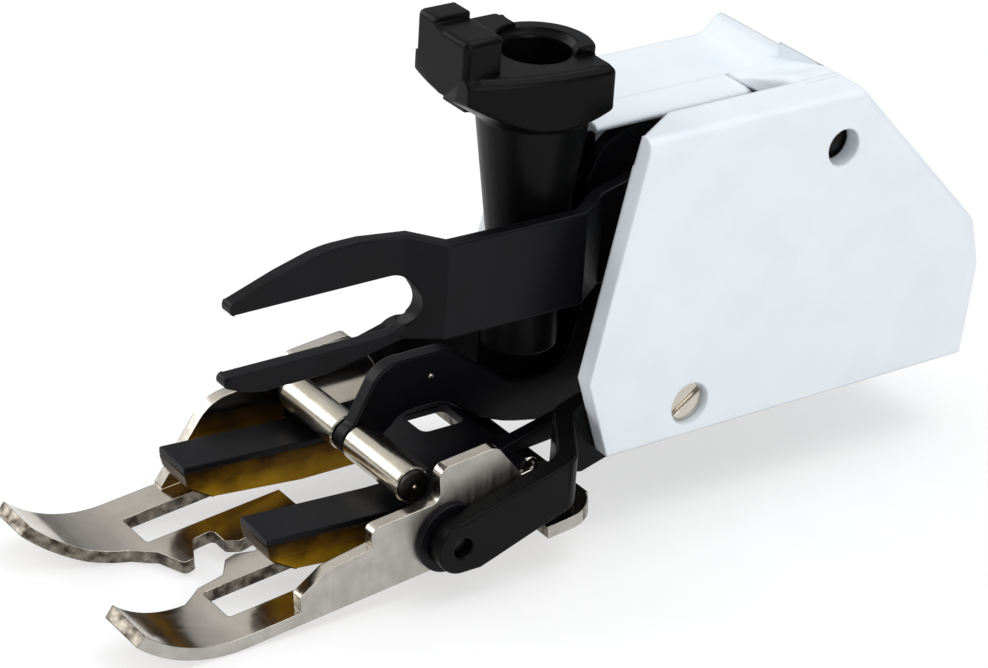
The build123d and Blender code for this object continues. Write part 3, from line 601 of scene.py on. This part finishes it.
def even_shading(mesh: Mesh, corner_deg: float) -> None:
    """Shades each flat evenly right up to the curves beside it, which lead smoothly into it.

    Args:
        mesh: the piece's mesh.
        corner_deg: faces that meet at more than this angle stay apart.
    """
    limit = math.cos(math.radians(corner_deg))
    around: list[list[MeshPolygon]] = [[] for _ in mesh.vertices]
    for polygon in mesh.polygons:
        for corner in polygon.vertices:
            around[corner].append(polygon)
    leans: list[Vector] = []
    for polygon in mesh.polygons:
        for corner in polygon.vertices:
            lean = Vector()
            for other in around[corner]:
                if other.normal.dot(polygon.normal) > limit:
                    lean += other.normal * (other.area / MM**2) ** 2
            leans.append(lean.normalized() if lean.length > 0.0 else polygon.normal.copy())
    mesh.normals_split_custom_set(leans)


def settle(name: str, made: BMesh, edge_mm: float = 0.0, corner_deg: float = CORNER_DEG) -> Object:
    """Makes a shaded object from a mesh, with its sharp edges broken.

    Args:
        name: the object's name.
        made: the mesh, which is freed.
        edge_mm: width of the broken edge; zero leaves the edges to the finish.
        corner_deg: edges that turn by more than this count as sharp.

    Returns:
        The new object, linked to the scene.
    """
    if edge_mm > 0:
        bmesh.ops.connect_verts_concave(made, faces=made.faces)
        mark_edges(made, edge_mm, corner_deg)
    mesh = bpy.data.meshes.new(name)
    made.to_mesh(mesh)
    made.free()
    for polygon in mesh.polygons:
        polygon.use_smooth = True
    mesh.set_sharp_from_angle(angle=math.radians(corner_deg))
    piece = bpy.data.objects.new(name, mesh)
    bpy.context.scene.collection.objects.link(piece)
    if edge_mm > 0:
        soft = piece.modifiers.new("broken_edges", "BEVEL")
        soft.width = edge_mm * MM
        soft.segments = EDGE_STEPS
        soft.limit_method = "WEIGHT"
        soft.use_clamp_overlap = False
        even = piece.modifiers.new("even_flats", "WEIGHTED_NORMAL")
        even.mode = "FACE_AREA"
        even.weight = 100
        even.keep_sharp = True
    else:
        even_shading(mesh, corner_deg)
    return piece


@dataclass
class SubAssembly:
    """A group of pieces that move together with one body of the foot."""

    body: str = "frame"
    pieces: list[Object] = field(default_factory=list)

    def build(self) -> None:
        """Builds and dresses the group's pieces."""
        raise NotImplementedError

    def put_on(
        self, piece: Object, finishes: tuple[Finish, ...], stands_for: str = "", body: str = ""
    ) -> None:
        """Gives a piece its finishes and its body.

        Args:
            piece: the finished mesh.
            finishes: its materials, in the order of its faces' numbers.
            stands_for: CAD node that the piece replaces, if it does.
            body: body that carries it, if not the group's own.
        """
        for finish in finishes:
            piece.data.materials.append(finish.material())
        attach(piece, body or self.body)
        if stands_for:
            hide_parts(stands_for)
        self.pieces.append(piece)
        LOG.info("%s: %s in %s", type(self).__name__, piece.name, ", ".join(f.name for f in finishes))

    def from_cad(self, name: str, finish: Finish, edge_mm: float, corner_deg: float = CORNER_DEG) -> None:
        """Makes one piece straight from its CAD node.

        Args:
            name: the CAD node's name.
            finish: the piece's material.
            edge_mm: width of its broken edges.
            corner_deg: edges that turn by more than this are broken.
        """
        self.put_on(settle(name + "_dressed", cad_copy(name), edge_mm, corner_deg), (finish,), name)


@dataclass
class FrameCasting(SubAssembly):
    """The black casting with the pins and washers on which the sole rocks."""

    edge_mm: float = 0.15
    washer_edge_mm: float = 0.1
    pin_edge_mm: float = 0.08
    boss_back_mm: float = -4.2
    step_mm: float = -0.6
    step_reach_mm: float = 0.4
    step_foot_mm: float = 33.2
    step_shift_mm: float = -1.1
    step_top_mm: float = 33.45
    step_drop_mm: float = -0.45
    web_low_mm: tuple[float, float, float] = (-3.4, 2.0, 5.4)
    web_high_mm: tuple[float, float, float] = (-0.9, 6.2, 23.2)

    def build(self) -> None:
        """Builds the casting, the two washers and the two pins."""
        self.put_on(self.casting(), (ENAMEL,), "frame_casting")
        for side in ("near", "far"):
            self.from_cad("pivot_washer_" + side, SATIN_COAT, self.washer_edge_mm)
            self.from_cad("sole_pin_" + side, OILED_STEEL, self.pin_edge_mm)

    def casting(self) -> Object:
        """Shapes the casting: a lower, narrower step on its boss and a web behind the shank's foot.

        Returns:
            The casting's object.
        """
        made = cad_copy("frame_casting")
        front = [corner for corner in made.verts if corner.co.y < self.boss_back_mm * MM]
        step = [corner for corner in front if corner.co.z > height(self.step_foot_mm)]
        side = [corner for corner in step if abs(corner.co.x / MM - self.step_mm) < self.step_reach_mm]
        top = [corner for corner in step if corner.co.z > height(self.step_top_mm)]
        bmesh.ops.translate(made, vec=(self.step_shift_mm * MM, 0.0, 0.0), verts=side)
        bmesh.ops.translate(made, vec=(0.0, 0.0, self.step_drop_mm * MM), verts=top)
        low, high = spot(*self.web_low_mm), spot(*self.web_high_mm)
        place = Matrix.Translation((low + high) / 2) @ Matrix.Diagonal(high - low).to_4x4()
        bmesh.ops.create_cube(made, size=1.0, matrix=place)
        return settle("frame_casting_dressed", made, self.edge_mm)


@dataclass
class Housing(SubAssembly):
    """The white cover over the levers' rear ends, with its screw."""

    screw_edge_mm: float = 0.03
    slot_mm: float = 8.1
    head_drop_mm: float = 0.22
    front_mm: float = 3.6
    wall_inside_mm: float = 7.0
    near_cheek_mm: float = 20.0
    near_set_back_mm: float = 0.45
    far_set_back_mm: float = 2.4
    roof_mm: float = 26.92
    skin_mm: float = 0.22
    skin_steps: int = 24
    roof_side_mm: tuple[float, float] = (-2.0, 5.7)
    roof_run_mm: tuple[float, float] = (17.9, 21.8)
    roof_ramp_mm: float = 6.0
    nose_mm: float = 25.04
    nose_run_mm: float = 0.8
    lip_side_mm: tuple[float, float] = (-2.0, 1.0)
    lip_run_mm: tuple[float, float] = (4.7, 18.2)
    lip_drop_mm: float = 0.3
    shelf_mm: float = 24.82
    hollow_mm: float = 20.3
    hollow_curve_mm: float = 2.0

    def build(self) -> None:
        """Builds the moulded cover and the slotted screw."""
        self.put_on(self.cover(), (WHITE_ABS,), "housing_cover")
        screw = cad_copy("housing_screw")
        head = [corner for corner in screw.verts if corner.co.x > self.slot_mm * MM]
        bmesh.ops.translate(screw, vec=(-self.head_drop_mm * MM, 0.0, 0.0), verts=head)
        piece = settle("housing_screw_dressed", screw, self.screw_edge_mm)
        self.put_on(piece, (NICKEL,), "housing_screw")

    def cover(self) -> Object:
        """Shapes the cover: walls set back at the front, a roof on the slot's rear end, a lip beside it.

        Returns:
            The cover's object.
        """
        made = cad_copy("housing_cover")
        front = [corner for corner in made.verts if corner.co.y < self.front_mm * MM]
        near = [corner for corner in front if corner.co.x > self.wall_inside_mm * MM]
        near = [corner for corner in near if corner.co.z < height(self.near_cheek_mm)]
        far = [corner for corner in front if corner.co.x < -self.wall_inside_mm * MM]
        bmesh.ops.translate(made, vec=(0.0, self.near_set_back_mm * MM, 0.0), verts=near)
        bmesh.ops.translate(made, vec=(0.0, self.far_set_back_mm * MM, 0.0), verts=far)
        self.skin(made, self.roof_side_mm, self.roof_run_mm, self.roof_height)
        self.skin(made, self.lip_side_mm, self.lip_run_mm, self.lip_height)
        return settle("housing_cover_dressed", made)

    def skin(
        self,
        made: BMesh,
        side_mm: tuple[float, float],
        run_mm: tuple[float, float],
        rise: Callable[[float, float], float],
    ) -> None:
        """Adds a thin sheet to the cover's top whose height follows a rule.

        Args:
            made: the cover's mesh.
            side_mm: the sheet's far and near sides.
            run_mm: the sheet's front and rear ends.
            rise: gives a height for a place across and along the foot, all in millimetres.
        """
        (far, near), (front, rear) = side_mm, run_mm
        place = Matrix.Translation(spot((far + near) / 2, (front + rear) / 2, self.roof_mm))
        spread = Matrix.Diagonal(((near - far) / 2, (rear - front) / 2, 1.0, 1.0))
        steps = self.skin_steps
        corners = bmesh.ops.create_grid(
            made, x_segments=steps, y_segments=steps, size=MM, matrix=place @ spread
        )["verts"]
        for corner in corners:
            corner.co.z = height(rise(corner.co.x / MM, corner.co.y / MM))
        faces = list({face for corner in corners for face in corner.link_faces})
        grown = bmesh.ops.extrude_face_region(made, geom=faces, use_keep_orig=True)["geom"]
        lower = [part for part in grown if isinstance(part, BMVert)]
        bmesh.ops.translate(made, vec=(0.0, 0.0, -self.skin_mm * MM), verts=lower)
        shell = list({face for corner in corners + lower for face in corner.link_faces})
        bmesh.ops.recalc_face_normals(made, faces=shell)

    def lip_height(self, across: float, back: float) -> float:
        """Gives the lip's height: level with the shelf and rounded down at the slot.

        Args:
            across: place across the foot, in millimetres.
            back: place along the foot, which makes no difference here.

        Returns:
            Height above the needle plate in millimetres.
        """
        into = min(max(across / self.lip_side_mm[1], 0.0), 1.0)
        return self.shelf_mm - self.lip_drop_mm * (1.0 - math.sqrt(1.0 - into**2))

    def roof_height(self, across: float, back: float) -> float:
        """Gives the roof's height: level, then leaning to the hollow shelf, and rounded down in front.

        Args:
            across: place across the foot, in millimetres.
            back: place along the foot, in millimetres.

        Returns:
            Height above the needle plate in millimetres.
        """
        curve = self.hollow_curve_mm
        into = min(max(back - self.hollow_mm, 0.0), curve)
        shelf = self.shelf_mm + curve - math.sqrt(curve**2 - into**2)
        share = min(max((across - self.roof_side_mm[0]) / self.roof_ramp_mm, 0.0), 1.0)
        full = shelf + (self.roof_mm - shelf) * share
        short = 1.0 - min(max((back - self.roof_run_mm[0]) / self.nose_run_mm, 0.0), 1.0)
        nose = min(full, self.nose_mm)
        return nose + (full - nose) * math.sqrt(1.0 - short**2)


@dataclass
class WireSpring:
    """A coil of round wire about an axis that runs across the foot, with or without a hooked leg."""

    name: str
    start: Vector
    coil: float
    advance: float
    turns: float
    wire_mm: float = 0.36
    wire_sides: int = 12
    steps_per_turn: int = 40
    leg_end: Optional[Vector] = None
    hook_mm: float = 0.5
    hook_deg: float = 200.0

    def mesh(self) -> Object:
        """Sweeps the wire round the coil and, where there is one, along the leg and its hook.

        Returns:
            The spring's object.
        """
        made = bmesh.new()
        top = self.start + Vector((0.0, 0.0, self.coil))
        upright = Matrix.Translation(top) @ Matrix.Rotation(math.radians(90.0), 4, "X")
        bmesh.ops.create_circle(
            made, cap_ends=False, segments=self.wire_sides, radius=self.wire_mm * MM / 2, matrix=upright
        )
        steps = round(self.turns * self.steps_per_turn)
        climb = self.advance / steps
        last = self.sweep(made, made.edges[:], self.start, -1.0, FULL_TURN * self.turns, steps, climb)
        if self.leg_end is not None:
            last = self.leg(made, last, top + Vector((self.advance, 0.0, 0.0)), self.leg_end)
        bmesh.ops.holes_fill(made, edges=[edge for edge in made.edges if edge.is_boundary], sides=0)
        bmesh.ops.remove_doubles(made, verts=made.verts, dist=WELD_MM * MM)
        bmesh.ops.recalc_face_normals(made, faces=made.faces)
        return settle(self.name, made, corner_deg=ROUND_DEG)

    def sweep(
        self,
        made: BMesh,
        ring: list[BMEdge],
        centre: Vector,
        sense: float,
        angle: float,
        steps: int,
        climb: float = 0.0,
    ) -> list[BMEdge]:
        """Turns the wire's open end about a line that runs across the foot.

        Args:
            made: the spring's mesh.
            ring: edges of the open end.
            centre: a point on the line.
            sense: 1 or -1, the way it turns.
            angle: how far it turns, in radians.
            steps: number of steps.
            climb: shift across the foot in each step, in metres.

        Returns:
            Edges of the new open end.
        """
        corners = list({corner for edge in ring for corner in edge.verts})
        swept = bmesh.ops.spin(
            made,
            geom=corners + ring,
            cent=centre,
            axis=(sense, 0, 0),
            dvec=(climb, 0, 0),
            angle=angle,
            steps=steps,
        )
        return [part for part in swept["geom_last"] if isinstance(part, BMEdge)]

    def leg(self, made: BMesh, ring: list[BMEdge], begin: Vector, end: Vector) -> list[BMEdge]:
        """Draws the leg straight from the coil and bends its hook.

        Args:
            made: the spring's mesh.
            ring: edges of the coil's open end.
            begin: centre of that end.
            end: where the hook begins.

        Returns:
            Edges of the hook's open end.
        """
        run = end - begin
        lean = Matrix.Rotation(math.atan2(run.z, run.y), 3, "X")
        grown = bmesh.ops.extrude_edge_only(made, edges=ring)["geom"]
        corners = [part for part in grown if isinstance(part, BMVert)]
        bmesh.ops.rotate(made, cent=begin, matrix=lean, verts=corners)
        bmesh.ops.translate(made, vec=run, verts=corners)
        lines = [part for part in grown if isinstance(part, BMEdge)]
        opened = [line for line in lines if set(line.verts) <= set(corners)]
        centre = end + lean @ Vector((0.0, 0.0, self.hook_mm * MM))
        return self.sweep(made, opened, centre, 1.0, math.radians(self.hook_deg), self.steps_per_turn // 2)


@dataclass
class LeverShaft(SubAssembly):
    """The stub shaft with its clip, spacers and the fork's return spring."""

    edge_mm: float = 0.05
    wire_mm: float = 0.36
    turns: float = 1.5
    steel: tuple[str, ...] = ("lever_shaft", "shaft_clip", "spacer_far", "spacer_mid", "spacer_near")

    def build(self) -> None:
        """Builds the turned parts and winds the spring round the far spacer."""
        for name in self.steel:
            self.from_cad(name, OILED_STEEL, self.edge_mm)
        low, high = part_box("fork_spring")
        middle = (low + high) / 2
        spring = WireSpring(
            "fork_return_spring",
            start=Vector((low.x + self.wire_mm * MM / 2, middle.y, middle.z)),
            coil=(high.y - low.y - self.wire_mm * MM) / 2,
            advance=high.x - low.x - self.wire_mm * MM,
            turns=self.turns,
            wire_mm=self.wire_mm,
        )
        self.put_on(spring.mesh(), (DRAWN_WIRE,), "fork_spring")


@dataclass
class ForkLever(SubAssembly):
    """The joggled sheet lever whose two tines take the needle clamp's screw."""

    body: str = "fork"
    edge_mm: float = 0.14
    bend_mm: float = 1.0
    corner_deg: float = 24.0

    def build(self) -> None:
        """Builds the lever with rounded tips."""
        made = cad_copy("fork_lever")
        round_corners(made, runs_across, self.bend_mm)
        piece = settle("fork_lever_dressed", made, self.edge_mm, self.corner_deg)
        self.put_on(piece, (SATIN_COAT,), "fork_lever")


@dataclass
class RollerLever(SubAssembly):
    """The plate lever with its pin and the two rollers."""

    body: str = "roller_lever"
    plate_edge_mm: float = 0.16
    bend_mm: float = 2.6
    crest_run_mm: tuple[float, float] = (2.0, 17.9)
    crest_mm: float = 23.6
    crest_drop_mm: float = 0.9
    bore_mm: float = 0.55
    roller_edge_mm: float = 0.1
    pin_mm: float = 0.5
    head_mm: float = 1.16
    head_tall_mm: float = 0.3
    dish_mm: float = 0.06
    dish_shares: tuple[float, float] = (0.55, 0.4)
    glint_pip_mm: float = 0.17
    dome_share: float = 0.45
    dome_sides: tuple[int, int] = (20, 12)
    stud_mm: float = 0.2
    stud_at_mm: tuple[float, float, float] = (0.6, -7.49, 8.73)
    sides: int = 64

    def build(self) -> None:
        """Builds the plate, the pin with a bright nickel dome at its centre for a painted glint, the stud
        and the rollers.
        """
        plate = cad_copy("roller_arm")
        front, rear = self.crest_run_mm
        crest = [corner for corner in plate.verts if front * MM < corner.co.y < rear * MM]
        crest = [corner for corner in crest if corner.co.z > height(self.crest_mm)]
        bmesh.ops.translate(plate, vec=(0.0, 0.0, -self.crest_drop_mm * MM), verts=crest)
        round_corners(plate, runs_across, self.bend_mm)
        self.put_on(settle("roller_arm_dressed", plate, self.plate_edge_mm), (SATIN_COAT,), "roller_arm")
        self.put_on(self.pin(), (OILED_STEEL,), "roller_pin")
        low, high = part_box("roller_pin")
        middle = (low + high) / 2
        centre = Vector((high.x - self.dish_mm * MM, middle.y, middle.z))
        # The dome's bright nickel stands in for the glint at the pin's centre: a painted highlight.
        self.put_on(self.dome("pin_centre_painted_glint", centre, self.glint_pip_mm), (NICKEL,))
        self.put_on(self.dome("arm_stud", spot(*self.stud_at_mm), self.stud_mm), (NICKEL,))
        self.put_on(self.roller("roller_near"), (ROLLER_NICKEL,), "roller_near", "near_roller")
        self.put_on(self.roller("roller_far"), (ROLLER_NICKEL,), "roller_far", "far_roller")

    def roller(self, name: str) -> Object:
        """Turns one roller with its bore and broken ends.

        Args:
            name: the CAD node's name.

        Returns:
            The roller's object.
        """
        low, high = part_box(name)
        rim, bore, edge = (high.y - low.y) / 2, self.bore_mm * MM, self.roller_edge_mm * MM
        profile = [
            (low.x, bore),
            (low.x, rim - edge),
            (low.x + edge, rim),
            (high.x - edge, rim),
            (high.x, rim - edge),
            (high.x, bore),
            (low.x, bore),
        ]
        made = bmesh.new()
        turned(made, profile, (low + high) / 2, self.sides)
        return settle(name + "_dressed", made, corner_deg=TURNED_DEG)

    def pin(self) -> Object:
        """Turns the pin with a dished head at each end.

        Returns:
            The pin's object.
        """
        low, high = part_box("roller_pin")
        head, stem = self.head_mm * MM, self.pin_mm * MM
        tall, dish = self.head_tall_mm * MM, self.dish_mm * MM
        rim, floor = (share * head for share in self.dish_shares)
        near_end = [
            (high.x - tall, stem),
            (high.x - tall, head),
            (high.x - dish, head),
            (high.x, head - dish),
            (high.x, rim),
            (high.x - dish, floor),
            (high.x - dish, 0.0),
        ]
        far_end = [(low.x + high.x - across, radius) for across, radius in reversed(near_end)]
        made = bmesh.new()
        turned(made, far_end + near_end, (low + high) / 2, self.sides)
        return settle("roller_pin_dressed", made, corner_deg=TURNED_DEG)

    def dome(self, name: str, place: Vector, radius_mm: float) -> Object:
        """Makes a small bright dome on a face that looks to the near side.

        Args:
            name: the object's name.
            place: centre of the dome's foot.
            radius_mm: the dome's radius.

        Returns:
            The dome's object.
        """
        made = bmesh.new()
        there, home = Matrix.Translation(place), Matrix.Translation(-place)
        around, over = self.dome_sides
        bmesh.ops.create_uvsphere(
            made, u_segments=around, v_segments=over, radius=radius_mm * MM, matrix=there
        )
        bmesh.ops.scale(made, vec=(self.dome_share, 1.0, 1.0), space=home, verts=made.verts)
        return settle(name, made, corner_deg=ROUND_DEG)


@dataclass
class DriveLink(SubAssembly):
    """The link from the shaft to the carriage, with its pin."""

    body: str = "link"
    edge_mm: float = 0.1

    def build(self) -> None:
        """Builds the link and the pin."""
        self.from_cad("drive_link", SATIN_COAT, self.edge_mm)
        self.from_cad("link_pin", OILED_STEEL, self.edge_mm / 2)


@dataclass
class FeedCarriage(SubAssembly):
    """The black sheet with its two prongs and the amber pads under them."""

    body: str = "carriage"
    sheet_edge_mm: float = 0.1
    pad_edge_mm: float = 0.12
    pad_corner_deg: float = 18.0

    def build(self) -> None:
        """Builds the sheet and the pads."""
        self.from_cad("feed_carriage", SATIN_COAT, self.sheet_edge_mm)
        for side in ("near", "far"):
            self.from_cad("feed_pad_" + side, AMBER, self.pad_edge_mm, self.pad_corner_deg)


@dataclass
class Sole(SubAssembly):
    """The bent nickel sole with its spring."""

    body: str = "sole"
    tilt_deg: float = 6.6
    half_width_mm: float = 9.5
    flange_in_mm: float = 1.0
    flank_mm: float = 0.1
    inner_mm: float = 1.2
    tip_lean: float = 0.3
    side_lean: float = 0.9
    edge_lean: float = 0.35
    corner_lean: float = 0.95
    corner_mm: float = 0.8
    flange_mm: float = 3.0
    flat_mm: tuple[float, float] = (-24.0, -5.0)
    tip_mm: float = -34.1
    wire_mm: float = 0.36
    coil_room_mm: float = 0.1
    coil_turns: float = 2.0
    coil_reach_mm: float = 0.94
    leg_end_mm: tuple[float, float] = (-4.5, 4.37)

    def build(self) -> None:
        """Builds the plated sheet and winds its spring."""
        made = cad_copy("sole_plate")
        round_corners(made, self.is_corner, self.corner_mm)
        for face in made.faces:
            face.material_index = self.zone(face).value
        finishes = (NICKEL, GROUND_NICKEL, SHEARED_DARK_NICKEL)
        self.put_on(settle("sole_plate_dressed", made), finishes, "sole_plate")
        low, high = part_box("sole_pin_near")
        middle = (low + high) / 2
        advance = self.coil_reach_mm * MM
        first = low.x + self.wire_mm * MM / 2
        back_mm, above_mm = self.leg_end_mm
        spring = WireSpring(
            "sole_return_spring",
            start=Vector((first, middle.y, middle.z)),
            coil=(high.y - low.y + self.wire_mm * MM) / 2 + self.coil_room_mm * MM,
            advance=advance,
            turns=self.coil_turns,
            wire_mm=self.wire_mm,
            leg_end=Vector((first + advance, back_mm * MM, height(above_mm))),
        )
        self.put_on(spring.mesh(), (DRAWN_WIRE,), "sole_spring")

    def upright(self) -> Vector:
        """Gives the direction square to the tilted sheet."""
        lean = math.radians(self.tilt_deg)
        return Vector((0.0, -math.sin(lean), math.cos(lean)))

    def is_corner(self, edge: BMEdge) -> bool:
        """Tells whether an edge is a corner of a flange's outline, of the toes or of the rear lip.

        Args:
            edge: an edge of the merged sheet.

        Returns:
            True for a corner to round.
        """
        run = (edge.verts[1].co - edge.verts[0].co).normalized()
        middle = (edge.verts[0].co + edge.verts[1].co) / 2
        if abs(middle.x) > (self.half_width_mm - self.flange_in_mm) * MM:
            return abs(run.x) > ALONG and middle.z > height(self.flange_mm)
        front, rear = self.flat_mm
        return not front * MM < middle.y < rear * MM and abs(run.dot(self.upright())) > self.corner_lean

    def zone(self, face: BMFace) -> Zone:
        """Tells which finish a face of the sheet has.

        Args:
            face: a face of the merged sheet.

        Returns:
            The face's finish.
        """
        middle = face.calc_center_median()
        in_from_side = self.half_width_mm - abs(middle.x) / MM
        # Cut edges take the darker finish, a painted dark reflection of the room on the camera's side.
        if middle.y < self.tip_mm * MM and face.normal.y < -self.tip_lean:
            return Zone.SHEARED_DARK
        if abs(face.normal.x) > self.side_lean:
            if in_from_side < self.flank_mm:
                return Zone.GROUND
            return Zone.SHEARED_DARK if in_from_side > self.inner_mm else Zone.POLISHED
        return Zone.SHEARED_DARK if abs(face.normal.dot(self.upright())) < self.edge_lean else Zone.POLISHED


@dataclass(frozen=True)
class Softbox:
    """A soft rectangular lamp that faces the foot."""

    name: str
    place_mm: tuple[float, float, float]
    size_mm: tuple[float, float]
    watts: float

    def hang(self, aim: Vector) -> None:
        """Hangs the lamp.

        Args:
            aim: the point that it faces.
        """
        data = bpy.data.lights.new(self.name, "AREA")
        data.shape = "RECTANGLE"
        data.size, data.size_y = (size * MM for size in self.size_mm)
        data.energy = self.watts
        hung = bpy.data.objects.new(self.name, data)
        place = spot(*self.place_mm)
        facing = (place - aim).to_track_quat("Z", "Y").to_matrix().to_4x4()
        hung.matrix_world = Matrix.Translation(place) @ facing
        bpy.context.scene.collection.objects.link(hung)


@dataclass
class Studio:
    """Pale floor, soft lamps and the camera at the photograph's angle."""

    azimuth: float = 53.68
    elevation: float = 27.37
    roll: float = -3.61
    distance_mm: float = 230.7
    focal_px: float = 3389.0
    sensor_mm: float = 36.0
    clip: tuple[float, float] = (0.01, 20.0)
    target_mm: tuple[float, float, float] = (0.0, -2.02, 10.28)
    floor_gap_mm: float = 0.1
    floor_reach: float = 2.0
    fibre_mm: float = 4.0
    floor_rough: float = 0.9
    floor_white: float = 0.55
    bright_side: tuple[float, float, float] = (-0.3, -0.25, 0.92)
    room_strength: float = 1.0
    softboxes: tuple[Softbox, ...] = (
        Softbox("key_softbox", (-300.0, -200.0, 170.0), (340.0, 170.0), 0.6),
        Softbox("top_softbox", (60.0, 120.0, 340.0), (260.0, 220.0), 0.45),
        Softbox("side_softbox", (330.0, -40.0, 150.0), (200.0, 220.0), 0.45),
    )

    def build(self, lowest: float) -> None:
        """Makes the floor, the room, the lamps and the camera.

        Args:
            lowest: Z of the object's lowest point, in metres.
        """
        self.floor(lowest - self.floor_gap_mm * MM)
        self.room()
        for softbox in self.softboxes:
            softbox.hang(spot(*self.target_mm))
        self.camera()

    def floor(self, level: float) -> None:
        """Lays a plain pale floor.

        Args:
            level: the floor's Z in metres.
        """
        made = bmesh.new()
        place = Matrix.Translation((0.0, 0.0, level))
        bmesh.ops.create_grid(made, x_segments=1, y_segments=1, size=self.floor_reach, matrix=place)
        slab = settle("pale_floor", made)
        paint = bpy.data.materials.new("pale_paper_floor")
        paint.use_nodes = True
        tree = paint.node_tree
        tree.nodes.clear()
        spread = node(tree, "ShaderNodeTexCoord").outputs["Object"]
        fibre = node(tree, "ShaderNodeTexNoise", Vector=spread, Scale=per_mm(self.fibre_mm), Detail=3.0)
        stops = [(0.3, "f7f7f7"), (0.7, "fbfbfb")]
        tint = node(tree, "ShaderNodeValToRGB", {"stops": stops}, Fac=fibre.outputs["Fac"])
        colour = tint.outputs["Color"]
        paper = node(tree, "ShaderNodeBsdfPrincipled", Base_Color=colour, Roughness=self.floor_rough)
        path = node(tree, "ShaderNodeLightPath")
        seen: NodeSocket = path.outputs["Is Camera Ray"]
        for ray in ("Is Glossy Ray", "Is Transmission Ray"):
            wider = node(tree, "ShaderNodeMath", {"operation": "MAXIMUM"}, i0=seen, i1=path.outputs[ray])
            seen = wider.outputs[0]
        share = node(tree, "ShaderNodeMath", {"operation": "MULTIPLY"}, i0=seen, i1=self.floor_white)
        white = node(tree, "ShaderNodeEmission", Color=srgb("ffffff"), Strength=1.0)
        shown = node(
            tree,
            "ShaderNodeMixShader",
            Fac=share.outputs[0],
            i1=paper.outputs["BSDF"],
            i2=white.outputs["Emission"],
        )
        node(tree, "ShaderNodeOutputMaterial", Surface=shown.outputs["Shader"])
        slab.data.materials.append(paint)
        slab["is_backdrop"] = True

    def room(self) -> None:
        """Surrounds the scene with a plain room that is bright above and on the far side."""
        world = bpy.data.worlds.new("soft_room")
        world.use_nodes = True
        tree = world.node_tree
        tree.nodes.clear()
        direction = node(tree, "ShaderNodeTexCoord").outputs["Generated"]
        facing = node(
            tree, "ShaderNodeVectorMath", {"operation": "DOT_PRODUCT"}, i0=direction, i1=self.bright_side
        )
        share = node(tree, "ShaderNodeMapRange", Value=facing.outputs["Value"], From_Min=-1.0, From_Max=1.0)
        stops = [(0.3, "3f3f40"), (0.55, "808082"), (0.78, "c4c5c8"), (0.95, "ffffff")]
        wall = node(tree, "ShaderNodeValToRGB", {"stops": stops}, Fac=share.outputs["Result"])
        light = node(tree, "ShaderNodeBackground", Color=wall.outputs["Color"], Strength=self.room_strength)
        node(tree, "ShaderNodeOutputWorld", Surface=light.outputs["Background"])
        bpy.context.scene.world = world

    def camera(self) -> None:
        """Sets the camera to the photograph's viewpoint, lens and tilt."""
        turn, rise, tilt = (math.radians(v) for v in (self.azimuth, self.elevation, self.roll))
        back = Vector((math.sin(turn) * math.cos(rise), -math.cos(turn) * math.cos(rise), math.sin(rise)))
        right = Vector((math.cos(turn), math.sin(turn), 0.0))
        up = back.cross(right)
        tilted_right = right * math.cos(tilt) - up * math.sin(tilt)
        tilted_up = right * math.sin(tilt) + up * math.cos(tilt)
        data = bpy.data.cameras.new("photo_camera")
        data.sensor_width = self.sensor_mm
        data.lens = data.sensor_width * self.focal_px / PHOTO_WIDTH
        data.clip_start, data.clip_end = self.clip
        eye = bpy.data.objects.new("photo_camera", data)
        turned_view = Matrix((tilted_right, tilted_up, back)).transposed().to_4x4()
        stand = spot(*self.target_mm) + back * self.distance_mm * MM
        eye.matrix_world = Matrix.Translation(stand) @ turned_view
        bpy.context.scene.collection.objects.link(eye)
        bpy.context.scene.camera = eye


def main() -> None:
    """Builds and dresses every sub-assembly and sets the studio."""
    logging.basicConfig(level=logging.INFO, format="%(name)s: %(message)s")
    cad_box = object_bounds()
    groups: list[SubAssembly] = [
        FrameCasting(),
        Housing(),
        LeverShaft(),
        ForkLever(),
        RollerLever(),
        DriveLink(),
        FeedCarriage(),
        Sole(),
    ]
    for group in groups:
        group.build()
        LOG.info("%s: %d pieces", type(group).__name__, len(group.pieces))
    Studio().build(cad_box[0][2])
    bpy.context.scene.view_settings.view_transform = "Standard"


if __name__ == "__main__":
    main()
